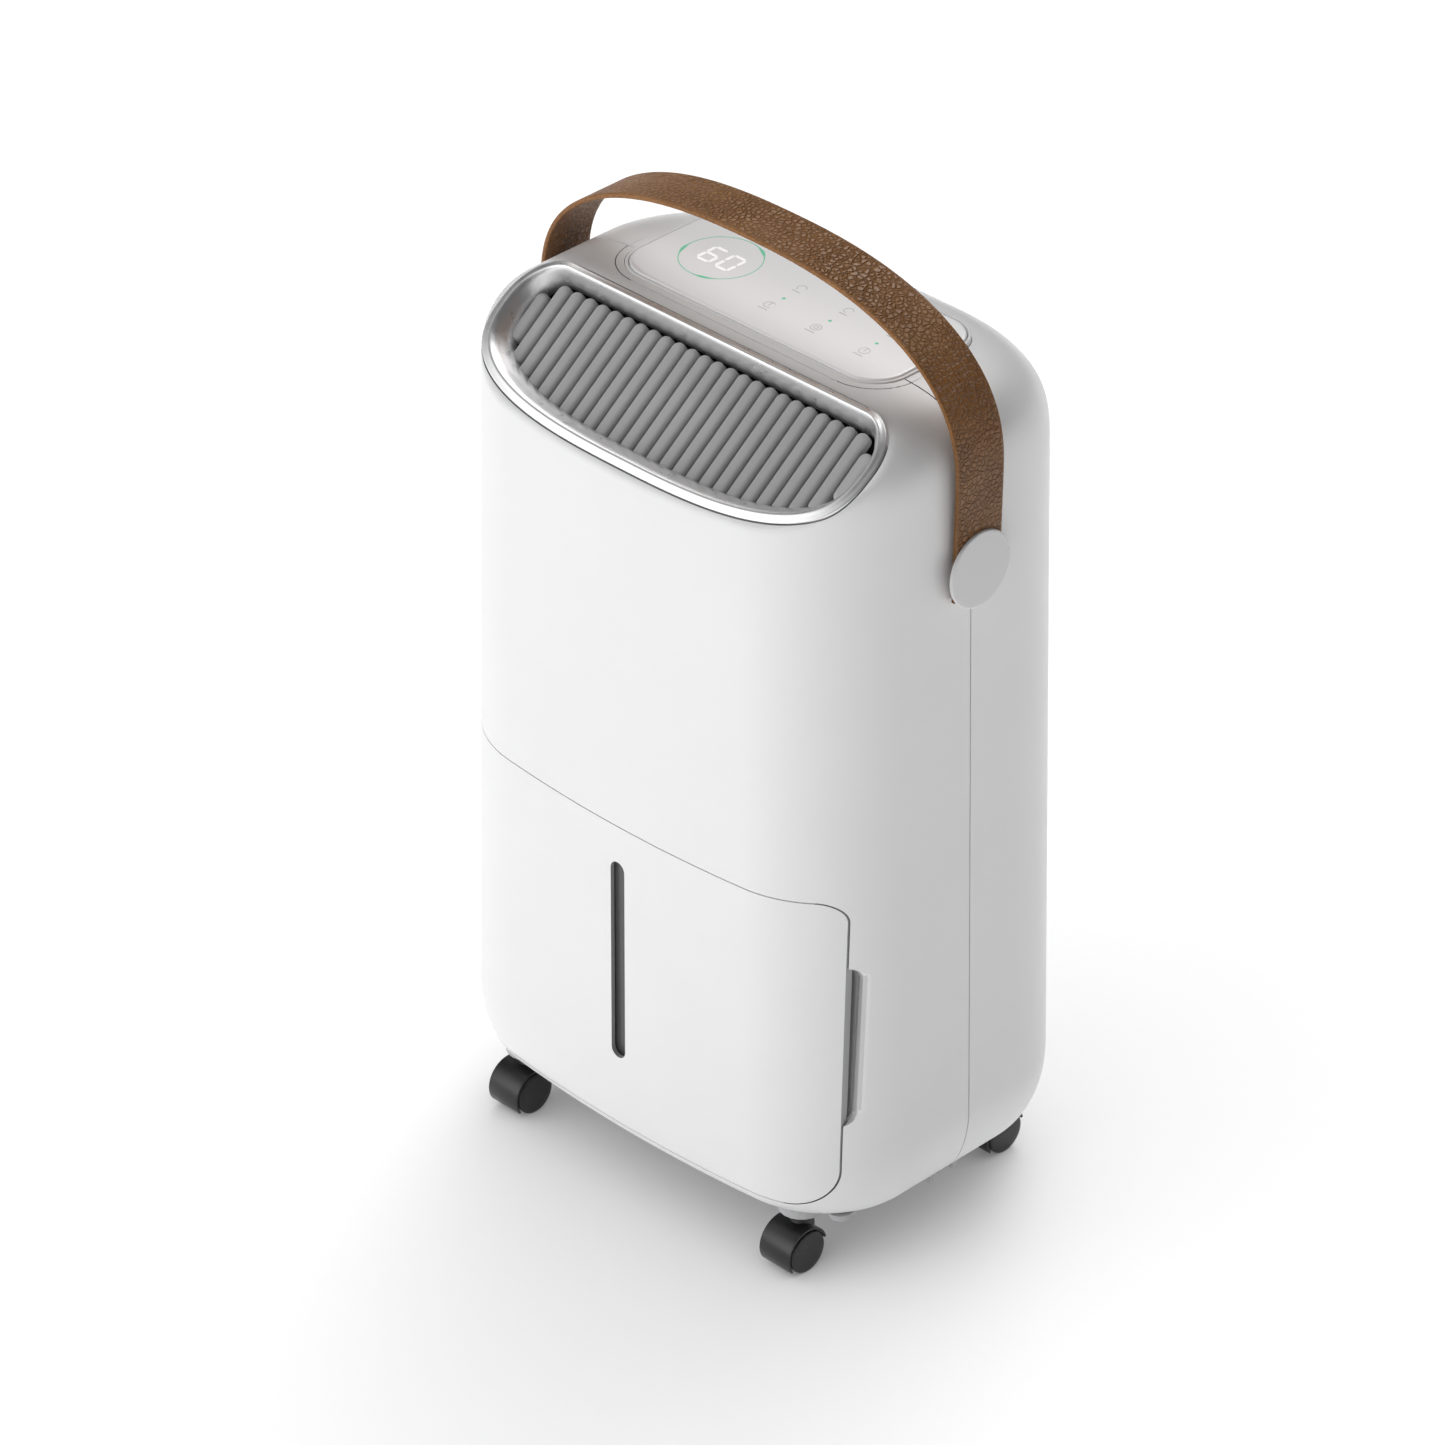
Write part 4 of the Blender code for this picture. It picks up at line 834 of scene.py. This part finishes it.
def shells():
    """The two shells and the tank's front."""
    outer = solid_from_grid("outer", OUTER_POINTS)
    skin = duplicate(outer, "skin")
    boolean(skin, solid_from_grid("inner", INNER_POINTS))
    front = front_housing(skin)
    rear = duplicate(skin, "rear_housing")
    boolean(rear, box("half", (-200, 200), (SPLIT_Y + SEAM, 200), (0, 600)), "INTERSECT")
    for piece in (front, rear):
        cut_common(piece)
    cut_back(rear)
    for x in (-STEM_X, STEM_X):
        for y in STEM_Y:
            piece = front if y < SPLIT_Y else rear
            boolean(piece, rod("boss_cut", BOSS_CLEARANCE, (x, y, 20), (x, y, 60)))
    tank = tank_face(outer)
    remove(outer, skin)

    dress(front, OUTER_SKIN, INNER_SKIN, finish=WHITE)
    shade_cuts(front, SEAM_EDGE_SHADE, recesses=True)
    dress(rear, OUTER_SKIN, INNER_SKIN, finish=WHITE)
    shade_cuts(rear, SEAM_EDGE_SHADE)
    dress(tank, OUTER_SKIN, finish=WHITE)
    shade_cuts(tank, TANK_EDGE_SHADE)
    place(front, "housing", "front_shell", slot="white_abs")
    place(rear, "housing", "rear_shell", slot="white_abs")
    place(tank, "tank", "tank_front", slot="white_abs")


def tank_lip():
    """Inner ledge of the housing behind the seam of the tank, coloured grey as painted shade so that the seam
    reads dark.
    """
    ring = prism("tank_lip", tank_outline(2.6), -160.0, -40.0, "Y")
    boolean(ring, prism("lip_inside", tank_outline(-2.0), -170.0, -30.0, "Y"))
    boolean(ring, solid_from_grid("lip_skin", housing_grid(WALL + 0.9, 3.0)), "INTERSECT")
    boolean(ring, solid_from_grid("lip_core", housing_grid(WALL + 2.0, 3.0)))
    for side in (-1, 1):
        boolean(ring, recess_cutter(side))
    ring.data.materials.append(SHADE)
    place(ring, "housing")


def base_outline(grow):
    """The base plate's outline, as in the CAD."""
    x = 126.0 + grow
    return rounded_rectangle((-x, x), (-81.0 - grow, 86.0 + grow), [45.0 + grow] * 4, 16)


def underside():
    """Foot pads and drip lugs under the rim of the housing."""
    pad_profile = [(0.0, -3.4), (6.2, -3.4), (6.9, -3.1), (7.3, -2.5), (7.3, 0.3), (0.0, 0.3)]
    for side, label in ((1, "right"), (-1, "left")):
        centre = (side * 121.7, -63.1, HOUSING_BOTTOM)
        pad = turned("foot_pad_" + label, pad_profile, centre, (0, 0, 1), 48, GREY, 35)
        place(pad, "housing")
        for i, y in enumerate((-6.0, 2.5, 11.0)):
            x = sorted((side * 124.5, side * (133.4 if i != 1 else 131.0)))
            lug = box("lug_%s_%d" % (label, i + 1), x, (y - 1.6, y + 1.6), (30.2 + 0.8 * i, 38.0), GREY)
            bevel(lug, 0.5, 2)
            place(settle(lug, 35), "housing")


def seam_lip():
    """Inner tongue behind the seam between the two shells, coloured grey as painted shade so that the seam
    reads dark.
    """
    ring = solid_from_grid("seam_lip", housing_grid(WALL + 0.15, 3.0))
    boolean(ring, solid_from_grid("lip_core", housing_grid(WALL + 1.6, 3.0)))
    boolean(ring, box("lip_half", (-200, 200), (SPLIT_Y - 5, SPLIT_Y + 5), (60, 470)), "INTERSECT")
    for x in (-1, 1):
        boolean(ring, rod("pin_cut", 9.6, (x * 170, SPLIT_Y, PIVOT_Z), (x * 110, SPLIT_Y, PIVOT_Z)))
    ring.data.materials.append(SHADE)
    place(ring, "housing", slot="grey_abs")


# ---- outlet

def bezel():
    """Satin ring; its band is narrow along the rear and wider round the front.

    The profile is (inset, height) pairs: gap, outer band, ridge, then the inner slope and back
    under it. Where it is narrow, each inset is half as far in; on the front the inner slope
    reaches further in, to the tips of the bars.
    """
    gap, ridge, inner = 0.7, 4.7, 11.8
    profile = [(gap, -4.0), (gap, 0.35), (0.85, 0.8), (1.3, 1.05), (2.3, 1.25), (3.3, 1.65), (4.0, 2.05),
               (ridge, 2.25), (5.4, 2.10), (6.2, 1.45), (7.1, 0.3), (8.0, -1.2), (9.0, -2.9),
               (10.0, -4.6), (10.9, -6.5), (11.5, -9.0), (inner, -12.0), (10.4, -12.0), (9.0, -7.5),
               (6.0, -2.5), (3.0, -1.0), (1.7, -1.5), (1.5, -4.0)]
    m = slope_matrix()
    reference = outlet_outline(0.0)
    front_y = min(p[1] for p in reference)
    along = (0.0, 0.10, 0.35, 0.80, 1.0)
    rings = []
    for inset, height in profile:
        narrow, wide = outlet_outline(gap + (inset - gap) * 0.5), outlet_outline(inset)
        front = 1.0 + 0.66 * float(np.clip((inset - ridge) / (inner - ridge), 0.0, 1.0))
        shares = (0.55, 0.90, 0.95, front, front)
        ring = []
        for (x0, y0), (x1, y1), (_, yr) in zip(narrow, wide, reference):
            share = float(np.interp(yr / front_y, along, shares))
            ring.append(m @ Vector((x0 + (x1 - x0) * share, y0 + (y1 - y0) * share, height)))
        rings.append(ring)
    obj = add("outlet_ring", loft(rings, wrap=True), SILVER, smooth=50)
    place(obj, "housing", "outlet_bezel", slot="satin_silver")


def plenum():
    """Duct under the bars, near-black as painted shade so that the gaps between the bars read dark."""
    m = slope_matrix()
    (outer, inner), (low, high) = DUCT_WALL, DUCT_HEIGHT
    rings = []
    for inset, height in ((outer, high), (outer, low), (inner, low), (inner, high)):
        rings.append([m @ Vector((x, y, height)) for x, y in outlet_outline(inset)])
    obj = add("outlet_duct", loft(rings, wrap=True), DUCT_SHADE, smooth=50)
    bottom = slope_prism("outlet_duct_floor", outlet_outline(8.0), -25.0, -24.0, DUCT_SHADE)
    place(obj, "housing")
    place(bottom, "housing")


def bar_front_y(x):
    """Where the bar at x ends, along the curved front of the outlet."""
    tips = [(0.0, -87.1), (31.0, -86.6), (50.0, -85.4), (68.5, -83.4), (87.0, -80.4), (96.0, -77.5),
            (105.0, -73.0)]
    return float(np.interp(abs(x), [t[0] for t in tips], [t[1] for t in tips]))


def bars():
    """Outlet bars with round ends and soft edges, running up the slope."""
    m = Matrix.Translation((0, *BAR_REAR)) @ Matrix.Rotation(BAR_SLOPE, 4, "X")
    # each level of a bar is (growth of its outline, height)
    levels = [(-0.9, -6.0), (0.0, -5.6), (0.0, -2.4), (-0.10, -1.75), (-0.40, -1.1), (-0.90, -0.6),
              (-1.6, -0.25), (-2.4, -0.06), (-3.1, 0.0)]
    bm = bmesh.new()
    for i in range(BAR_COUNT):
        x = (i - (BAR_COUNT - 1) / 2) * BAR_PITCH
        short = i in (0, BAR_COUNT - 1)
        rear, front = SHORT_BAR_Y if short else (BAR_REAR[0], bar_front_y(x))
        high = (rear - BAR_REAR[0]) / cos(BAR_SLOPE)
        low = (front - BAR_REAR[0]) / cos(BAR_SLOPE)
        layers = []
        for grow, h in levels:
            outline = stadium(BAR_WIDTH / 2 + grow, low - grow, high + grow, 10)
            layers.append([m @ Vector((x + u, v, h)) for u, v in outline])
        add_rings(bm, layers)
    obj = add("outlet_bars", bm, BAR_GREY, smooth=50)
    place(obj, "housing", "outlet_grille", slot="grey_abs")

    # Ribs under the bars, in the same near-black painted shade as the duct.
    ribs = bmesh.new()
    end, half = 113.0, 1.4
    for y in (-12.0, -46.0):
        corners = [(-end, y - half), (end, y - half), (end, y + half), (-end, y + half)]
        add_rings(ribs, [[m @ Vector((u, v, h)) for u, v in corners] for h in (-9.0, -5.0)])
    place(add("outlet_bar_ribs", ribs, DUCT_SHADE), "housing")


# ---- control panel

PRINT_HEIGHT = 0.04


def print_shapes(name, outlines, finish):
    """Thin printed shapes on the panel."""
    bm = bmesh.new()
    for outline in outlines:
        add_rings(bm, [[(x, y, h) for x, y in outline] for h in (PANEL_TOP, PANEL_TOP + PRINT_HEIGHT)])
    place(add(name, bm, finish), "housing")


def annulus(centre, radius, width, start=0.0, end=360.0, steps=48):
    """A band as quads, for print_shapes; the width may be a function of the angle."""
    quads = []
    for i in range(steps):
        a, b = (start + (end - start) * (i + k) / steps for k in (0, 1))
        points = []
        for angle, sign in ((a, -1), (b, -1), (b, 1), (a, 1)):
            w = width(angle) if callable(width) else width
            r = radius + sign * w / 2
            t = radians(angle)
            points.append((centre[0] + r * cos(t), centre[1] + r * sin(t)))
        quads.append(points)
    return quads


def seven_segment(centre, digit, width=8.2, height=14.4, thick=1.7, gap=0.35):
    """Outlines of one seven-segment digit."""
    on = {"6": "acdefg", "0": "abcdef"}[digit]
    w, h, t = width / 2, height / 2, thick / 2
    spans = {
        "a": ((-w, h), (w, h)), "g": ((-w, 0), (w, 0)), "d": ((-w, -h), (w, -h)),
        "b": ((w, h), (w, 0)), "c": ((w, 0), (w, -h)), "f": ((-w, h), (-w, 0)), "e": ((-w, 0), (-w, -h)),
    }
    shapes = []
    for key in on:
        (x0, y0), (x1, y1) = spans[key]
        length = sqrt((x1 - x0) ** 2 + (y1 - y0) ** 2)
        ux, uy = (x1 - x0) / length, (y1 - y0) / length
        near, far = gap + t, length - gap - t
        outline = []
        for along, across in ((gap, 0), (near, t), (far, t), (length - gap, 0), (far, -t), (near, -t)):
            outline.append((centre[0] + x0 + ux * along - uy * across,
                            centre[1] + y0 + uy * along + ux * across))
        shapes.append(outline)
    return shapes


def ring_width(angle):
    """The display ring is thin, and swells at three places."""
    return 0.5 + 1.5 * sum(max(0.0, cos(radians(angle - a))) ** 60 for a in RING_SWELLS)


def key_marks():
    """Plain line symbols in place of the printed key signs."""
    marks = []
    for i, x in enumerate(KEY_X):
        start, end = (40, 320) if i == 0 else (0, 360)
        marks += annulus((x, NEAR_KEY_Y), 2.9, 0.35, start, end, 28)
        marks += annulus((x, FAR_KEY_Y), 2.6, 0.35, 20 * i, 250 + 20 * i, 24)
        marks.append(rectangle((x - 3.2, x + 3.2), (4.4, 4.9)))
        marks.append(rectangle((x - 2.6, x + 2.6), (28.6, 29.1)))
        if i == 1:
            marks += annulus((x, NEAR_KEY_Y), 1.2, 0.35, 0, 360, 16)
        else:
            marks.append(rectangle((x - 0.2, x + 0.2), (9.0, 12.4)))
    return marks


def control_panel():
    """The touch panel in its rim, with the display ring, two digits and three keys."""
    deck, top = HOUSING_TOP, PANEL_TOP
    rim_steps = [(2.3, deck - 3.0), (2.3, deck - 0.05), (2.1, deck + 0.25), (1.6, deck + 0.5),
                 (0.9, deck + 0.55), (0.55, deck + 0.35), (0.5, deck - 0.6), (0.5, deck - 3.0)]
    rings = [[(x, y, h) for x, y in panel_outline(grow)] for grow, h in rim_steps]
    place(add("panel_rim", loft(rings, wrap=True), SHADED_DECK_WHITE, smooth=50), "housing", slot="white_abs")
    steps = [(0.0, deck - 3.0), (0.0, top - 1.0), (-0.15, top - 0.55), (-0.5, top - 0.2),
             (-1.0, top - 0.03), (-1.6, top)]
    rings = [[(x, y, h) for x, y in panel_outline(grow)] for grow, h in steps]
    plate = add("panel_plate", loft(rings), PANEL, smooth=40)
    place(plate, "housing", "control_panel", slot="panel_gloss")

    print_shapes("display_ring", annulus(RING_CENTRE, RING_RADIUS, ring_width, steps=120), GREEN)
    digits = seven_segment((RING_CENTRE[0] - 5.6, RING_CENTRE[1] - 0.6), "6")
    digits += seven_segment((RING_CENTRE[0] + 7.4, RING_CENTRE[1] - 0.6), "0")
    print_shapes("display_digits", digits, DIGIT)
    print_shapes("key_lamps", [arc((x, LAMP_Y), 1.0, 0, 345, 23) for x in LAMP_X], GREEN)
    print_shapes("key_marks", key_marks(), PRINT)


# ---- handle

def strap_path(count=180):
    """Outer line of the strap, from the right foot over the arch to the left, and its normals."""
    half, base = STRAP_HALF_SPAN, STRAP_ARCH_Z
    outer = []
    foot = PIVOT_Z - STRAP_FOOT
    for z in np.linspace(foot, base, 26)[:-1]:
        outer.append((half - STRAP_LEAN * (base - z) / (base - foot), z))
    for a in np.linspace(0.0, pi / 2, 80):
        u, v = cos(a), sin(a)
        scale = (u ** STRAP_POWER + v ** STRAP_POWER) ** (-1.0 / STRAP_POWER)
        outer.append((half * u * scale, base + STRAP_RISE * v * scale))
    outer += [(-x, z) for x, z in reversed(outer[:-1])]
    pts = np.array(outer)
    step = np.linalg.norm(np.diff(pts, axis=0), axis=1)
    run = np.concatenate(([0.0], np.cumsum(step)))
    even = np.linspace(0.0, run[-1], count)
    pts = np.stack([np.interp(even, run, pts[:, k]) for k in (0, 1)], axis=1)
    for _ in range(3):
        pts[1:-1] = 0.25 * pts[:-2] + 0.5 * pts[1:-1] + 0.25 * pts[2:]
    tangent = np.gradient(pts, axis=0)
    tangent /= np.linalg.norm(tangent, axis=1)[:, None]
    normal = np.stack([tangent[:, 1], -tangent[:, 0]], axis=1)
    return pts, normal


def strap():
    """The leather band: a thin section with round edges along the strap's line."""
    pts, normal = strap_path()
    w, t, r = STRAP_WIDTH / 2, STRAP_THICKNESS, STRAP_EDGE
    edge_out = arc((w - r, -r), r, 90, 0, 4)
    edge_in = arc((w - r, -t + r), r, 0, -90, 4)
    top = [(s * (w - r), 0.0) for s in np.linspace(-1, 1, 23)]
    bottom = [(s * (w - r), -t) for s in np.linspace(1, -1, 23)]
    section_points = top[:-1] + edge_out + edge_in[:-1] + bottom[:-1]
    section_points += [(-x, y) for x, y in reversed(edge_in)]
    section_points += [(-x, y) for x, y in reversed(edge_out)][:-1]
    rings = []
    for (x, z), (nx, nz) in zip(pts, normal):
        rings.append([(x + nx * h, SPLIT_Y + y, z + nz * h) for y, h in section_points])
    obj = add("strap", loft(rings), LEATHER, smooth=60)
    mesh = obj.data
    edge = mesh.attributes.new("edge", "FLOAT", "POINT")
    for v in mesh.vertices:
        away = abs(v.co.y / MM - SPLIT_Y) / w
        edge.data[v.index].value = min(1.0, max(0.0, (away - 0.88) / 0.10))
    place(obj, "handle", "handle_strap", slot="brown_leather")


def caps():
    """The two round caps that the strap turns with."""
    profile = [(0.0, 1.95), (19.9, 1.95), (20.5, 1.93), (20.9, 1.8), (21.15, 1.55), (21.3, 1.2),
               (21.3, 0.25), (21.1, 0.0), (0.0, 0.0)]
    for side, label in ((1, "right"), (-1, "left")):
        centre = (side * CAP_INNER_X, SPLIT_Y, PIVOT_Z)
        obj = turned("cap_" + label, profile, centre, (side, 0, 0), 128, CAP, 25)
        place(obj, "handle", "handle_cap_" + label, slot="cap_grey")


# ---- casters

def caster_hood(label, x, y, cy, cz):
    """A barrel-shaped cover with a web between the wheels, a neck and a stem."""
    outline = arc((cy, cz), HOOD_OUTER, 14, 214, 40) + arc((cy, cz), HOOD_INNER, 214, 14, 40)
    hood = prism("caster_%s_cover" % label, outline, x - HOOD_HALF_WIDTH, x + HOOD_HALF_WIDTH, "X")
    web_outline = arc((cy, cz), HOOD_INNER + 0.5, 0, 215, 30) + arc((cy, cz), 4.6, 240, 330, 8)
    web = prism("web", web_outline, x - 1.3, x + 1.3, "X")
    boolean(hood, web, "UNION", "EXACT")
    neck_profile = [(0, 10.0), (7.4, 10.0), (7.0, 24.5), (6.2, 27.0), (5.6, 29.0), (5.4, 33.2), (0, 33.2)]
    neck = turned("neck", neck_profile, (x, y, 0), (0, 0, 1), 40)
    space = rod("space", HOOD_INNER + 0.6, (x - 20, cy, cz), (x + 20, cy, cz), 64)
    boolean(neck, space, "DIFFERENCE", "EXACT")
    boolean(hood, neck, "UNION", "EXACT")
    boolean(hood, rod("stem", 3.0, (x, y, 31.0), (x, y, 44.0), 24), "UNION", "EXACT")
    bore = rod("bore", BORE_RADIUS, (x - 20, cy, cz), (x + 20, cy, cz), 24)
    boolean(hood, bore, "DIFFERENCE", "EXACT")
    hood.data.materials.append(BLACK)
    bevel(hood, 0.5, 3, 40)
    settle(hood, 35)
    place(hood, "caster_" + label, "caster_%s_hood" % label, slot="black_nylon")


def caster_wheel(label, name, side, centre):
    """One wheel, with a dished outer face."""
    near, far = WHEEL_FACES
    radius = WHEEL_RADIUS
    profile = [(BORE_RADIUS, near), (11.4, near), (12.0, near + 0.35), (radius, near + 0.9),
               (radius, far - 1.3), (12.1, far - 0.85), (11.8, far - 0.5), (11.3, far - 0.25),
               (10.4, far - 0.08), (8.0, far), (0.0, far + 0.05)]
    wheel = turned("caster_%s_roller_%s" % (label, name), profile, centre, (side, 0, 0), 72, BLACK, 30)
    place(wheel, "wheel_%s_%s" % (label, name), "caster_%s_wheel_%s" % (label, name), slot="black_nylon")


def caster(label, x, y):
    """Twin-wheel caster; its wheels trail behind the stem."""
    cy, cz = y - TRAIL, WHEEL_RADIUS
    caster_hood(label, x, y, cy, cz)
    for side, name in ((-1, "left"), (1, "right")):
        caster_wheel(label, name, side, (x, cy, cz))


# ---- finishing the CAD nodes that stay

def finish_nodes():
    """Materials for the CAD nodes that are kept as they are."""
    finishes = {
        GREY: "base_plate bay_partition filter_frame drain_port",
        WHITE: "intake_grille humidity_sensor",
        SMOKED: "tank_window",
        TANK_PP: "tank_bucket tank_lid drip_tray",
        STEEL: "pivot_pin_left pivot_pin_right float_pin fan_motor shell_screw_1 shell_screw_2 shell_screw_3"
               " shell_screw_4 caster_front_left_axle caster_front_right_axle caster_rear_left_axle"
               " caster_rear_right_axle",
        COPPER: "refrigerant_tube",
        FIN: "evaporator condenser run_capacitor",
        PAINT: "compressor",
        BOARD: "control_board power_board",
        FOAM: "tank_float",
        MESH: "filter_mesh",
        LENS: "display_module",
        BLACK: "float_switch fan_wheel fan_scroll power_inlet",
        RUBBER: "compressor_foot_1 compressor_foot_2 compressor_foot_3",
    }
    for finish, names in finishes.items():
        for name in names.split():
            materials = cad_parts[name].data.materials
            materials.clear()
            materials.append(finish)


# ---- studio

def floor():
    """A wide pale floor, with a sun that lights it alone and leaves the machine's shadow soft."""
    size = FLOOR_HALF_SIZE
    mesh = bpy.data.meshes.new("floor")
    corners = [(-size, -size, 0), (size, -size, 0), (size, size, 0), (-size, size, 0)]
    mesh.from_pydata(corners, [], [(0, 1, 2, 3)])
    obj = new_object("floor", mesh)
    n = Nodes("floor_white")
    a = FLOOR_ALBEDO
    tone = n.ramp(n.noise(0.8, 2.0), [(0.3, (a * 0.99, a * 0.99, a * 0.99)), (0.7, (a, a, a))])
    mesh.materials.append(n.set(colour=tone, roughness=0.9, specular=0.0, emission=tone, strength=0.20))

    light = bpy.data.lights.new("floor_light", "SUN")
    light.energy = FLOOR_LIGHT
    light.angle = radians(FLOOR_LIGHT_ANGLE)
    sun = new_object("floor_light", light)
    sun.rotation_mode = "QUATERNION"
    sun.rotation_quaternion = Vector(FLOOR_LIGHT_WAY).to_track_quat("Z", "Y")
    only = bpy.data.collections.new("floor_only")
    only.objects.link(obj)
    sun.light_linking.receiver_collection = only


def world_light():
    """A surrounding with broad soft lights: for each, peak * max(0, way . direction) ** spread."""
    world = bpy.data.worlds.new("studio")
    bpy.context.scene.world = world
    world.use_nodes = True
    tree = world.node_tree
    coord = tree.nodes.new("ShaderNodeTexCoord")

    def math(operation, first, second):
        step = tree.nodes.new("ShaderNodeMath")
        step.operation = operation
        for source, socket in zip((first, second), step.inputs):
            if isinstance(source, bpy.types.NodeSocket):
                tree.links.new(source, socket)
            else:
                socket.default_value = source
        return step.outputs[0]

    total = LIGHT_FILL
    for direction, spread, peak in LIGHTS:
        dot = tree.nodes.new("ShaderNodeVectorMath")
        dot.operation = "DOT_PRODUCT"
        dot.inputs[1].default_value = Vector(direction).normalized()
        tree.links.new(coord.outputs["Generated"], dot.inputs[0])
        lit = math("POWER", math("MAXIMUM", dot.outputs["Value"], 0.0), spread)
        total = math("ADD", total, math("MULTIPLY", lit, peak))
    back = tree.nodes["Background"]
    tree.links.new(total, back.inputs["Color"])
    back.inputs["Strength"].default_value = 1.0


def camera():
    """A long lens at the photograph's viewing angle."""
    cam = bpy.data.cameras.new("camera")
    cam.lens = CAMERA_LENS
    cam.sensor_width = 36.0
    cam.clip_end = 100.0
    obj = new_object("camera", cam)
    way = Vector(CAMERA_WAY)
    obj.location = Vector(CAMERA_TARGET) + way.normalized() * CAMERA_DISTANCE
    obj.rotation_mode = "QUATERNION"
    obj.rotation_quaternion = way.to_track_quat("Z", "Y")
    bpy.context.scene.camera = obj
    bpy.context.scene.view_settings.view_transform = "Standard"


floor()
world_light()
camera()
shells()
seam_lip()
tank_lip()
underside()
bezel()
plenum()
bars()
control_panel()
strap()
caps()
for end, stem_y in zip(("front", "rear"), STEM_Y):
    for hand, stem_x in (("left", -STEM_X), ("right", STEM_X)):
        caster("%s_%s" % (end, hand), stem_x, stem_y)
finish_nodes()
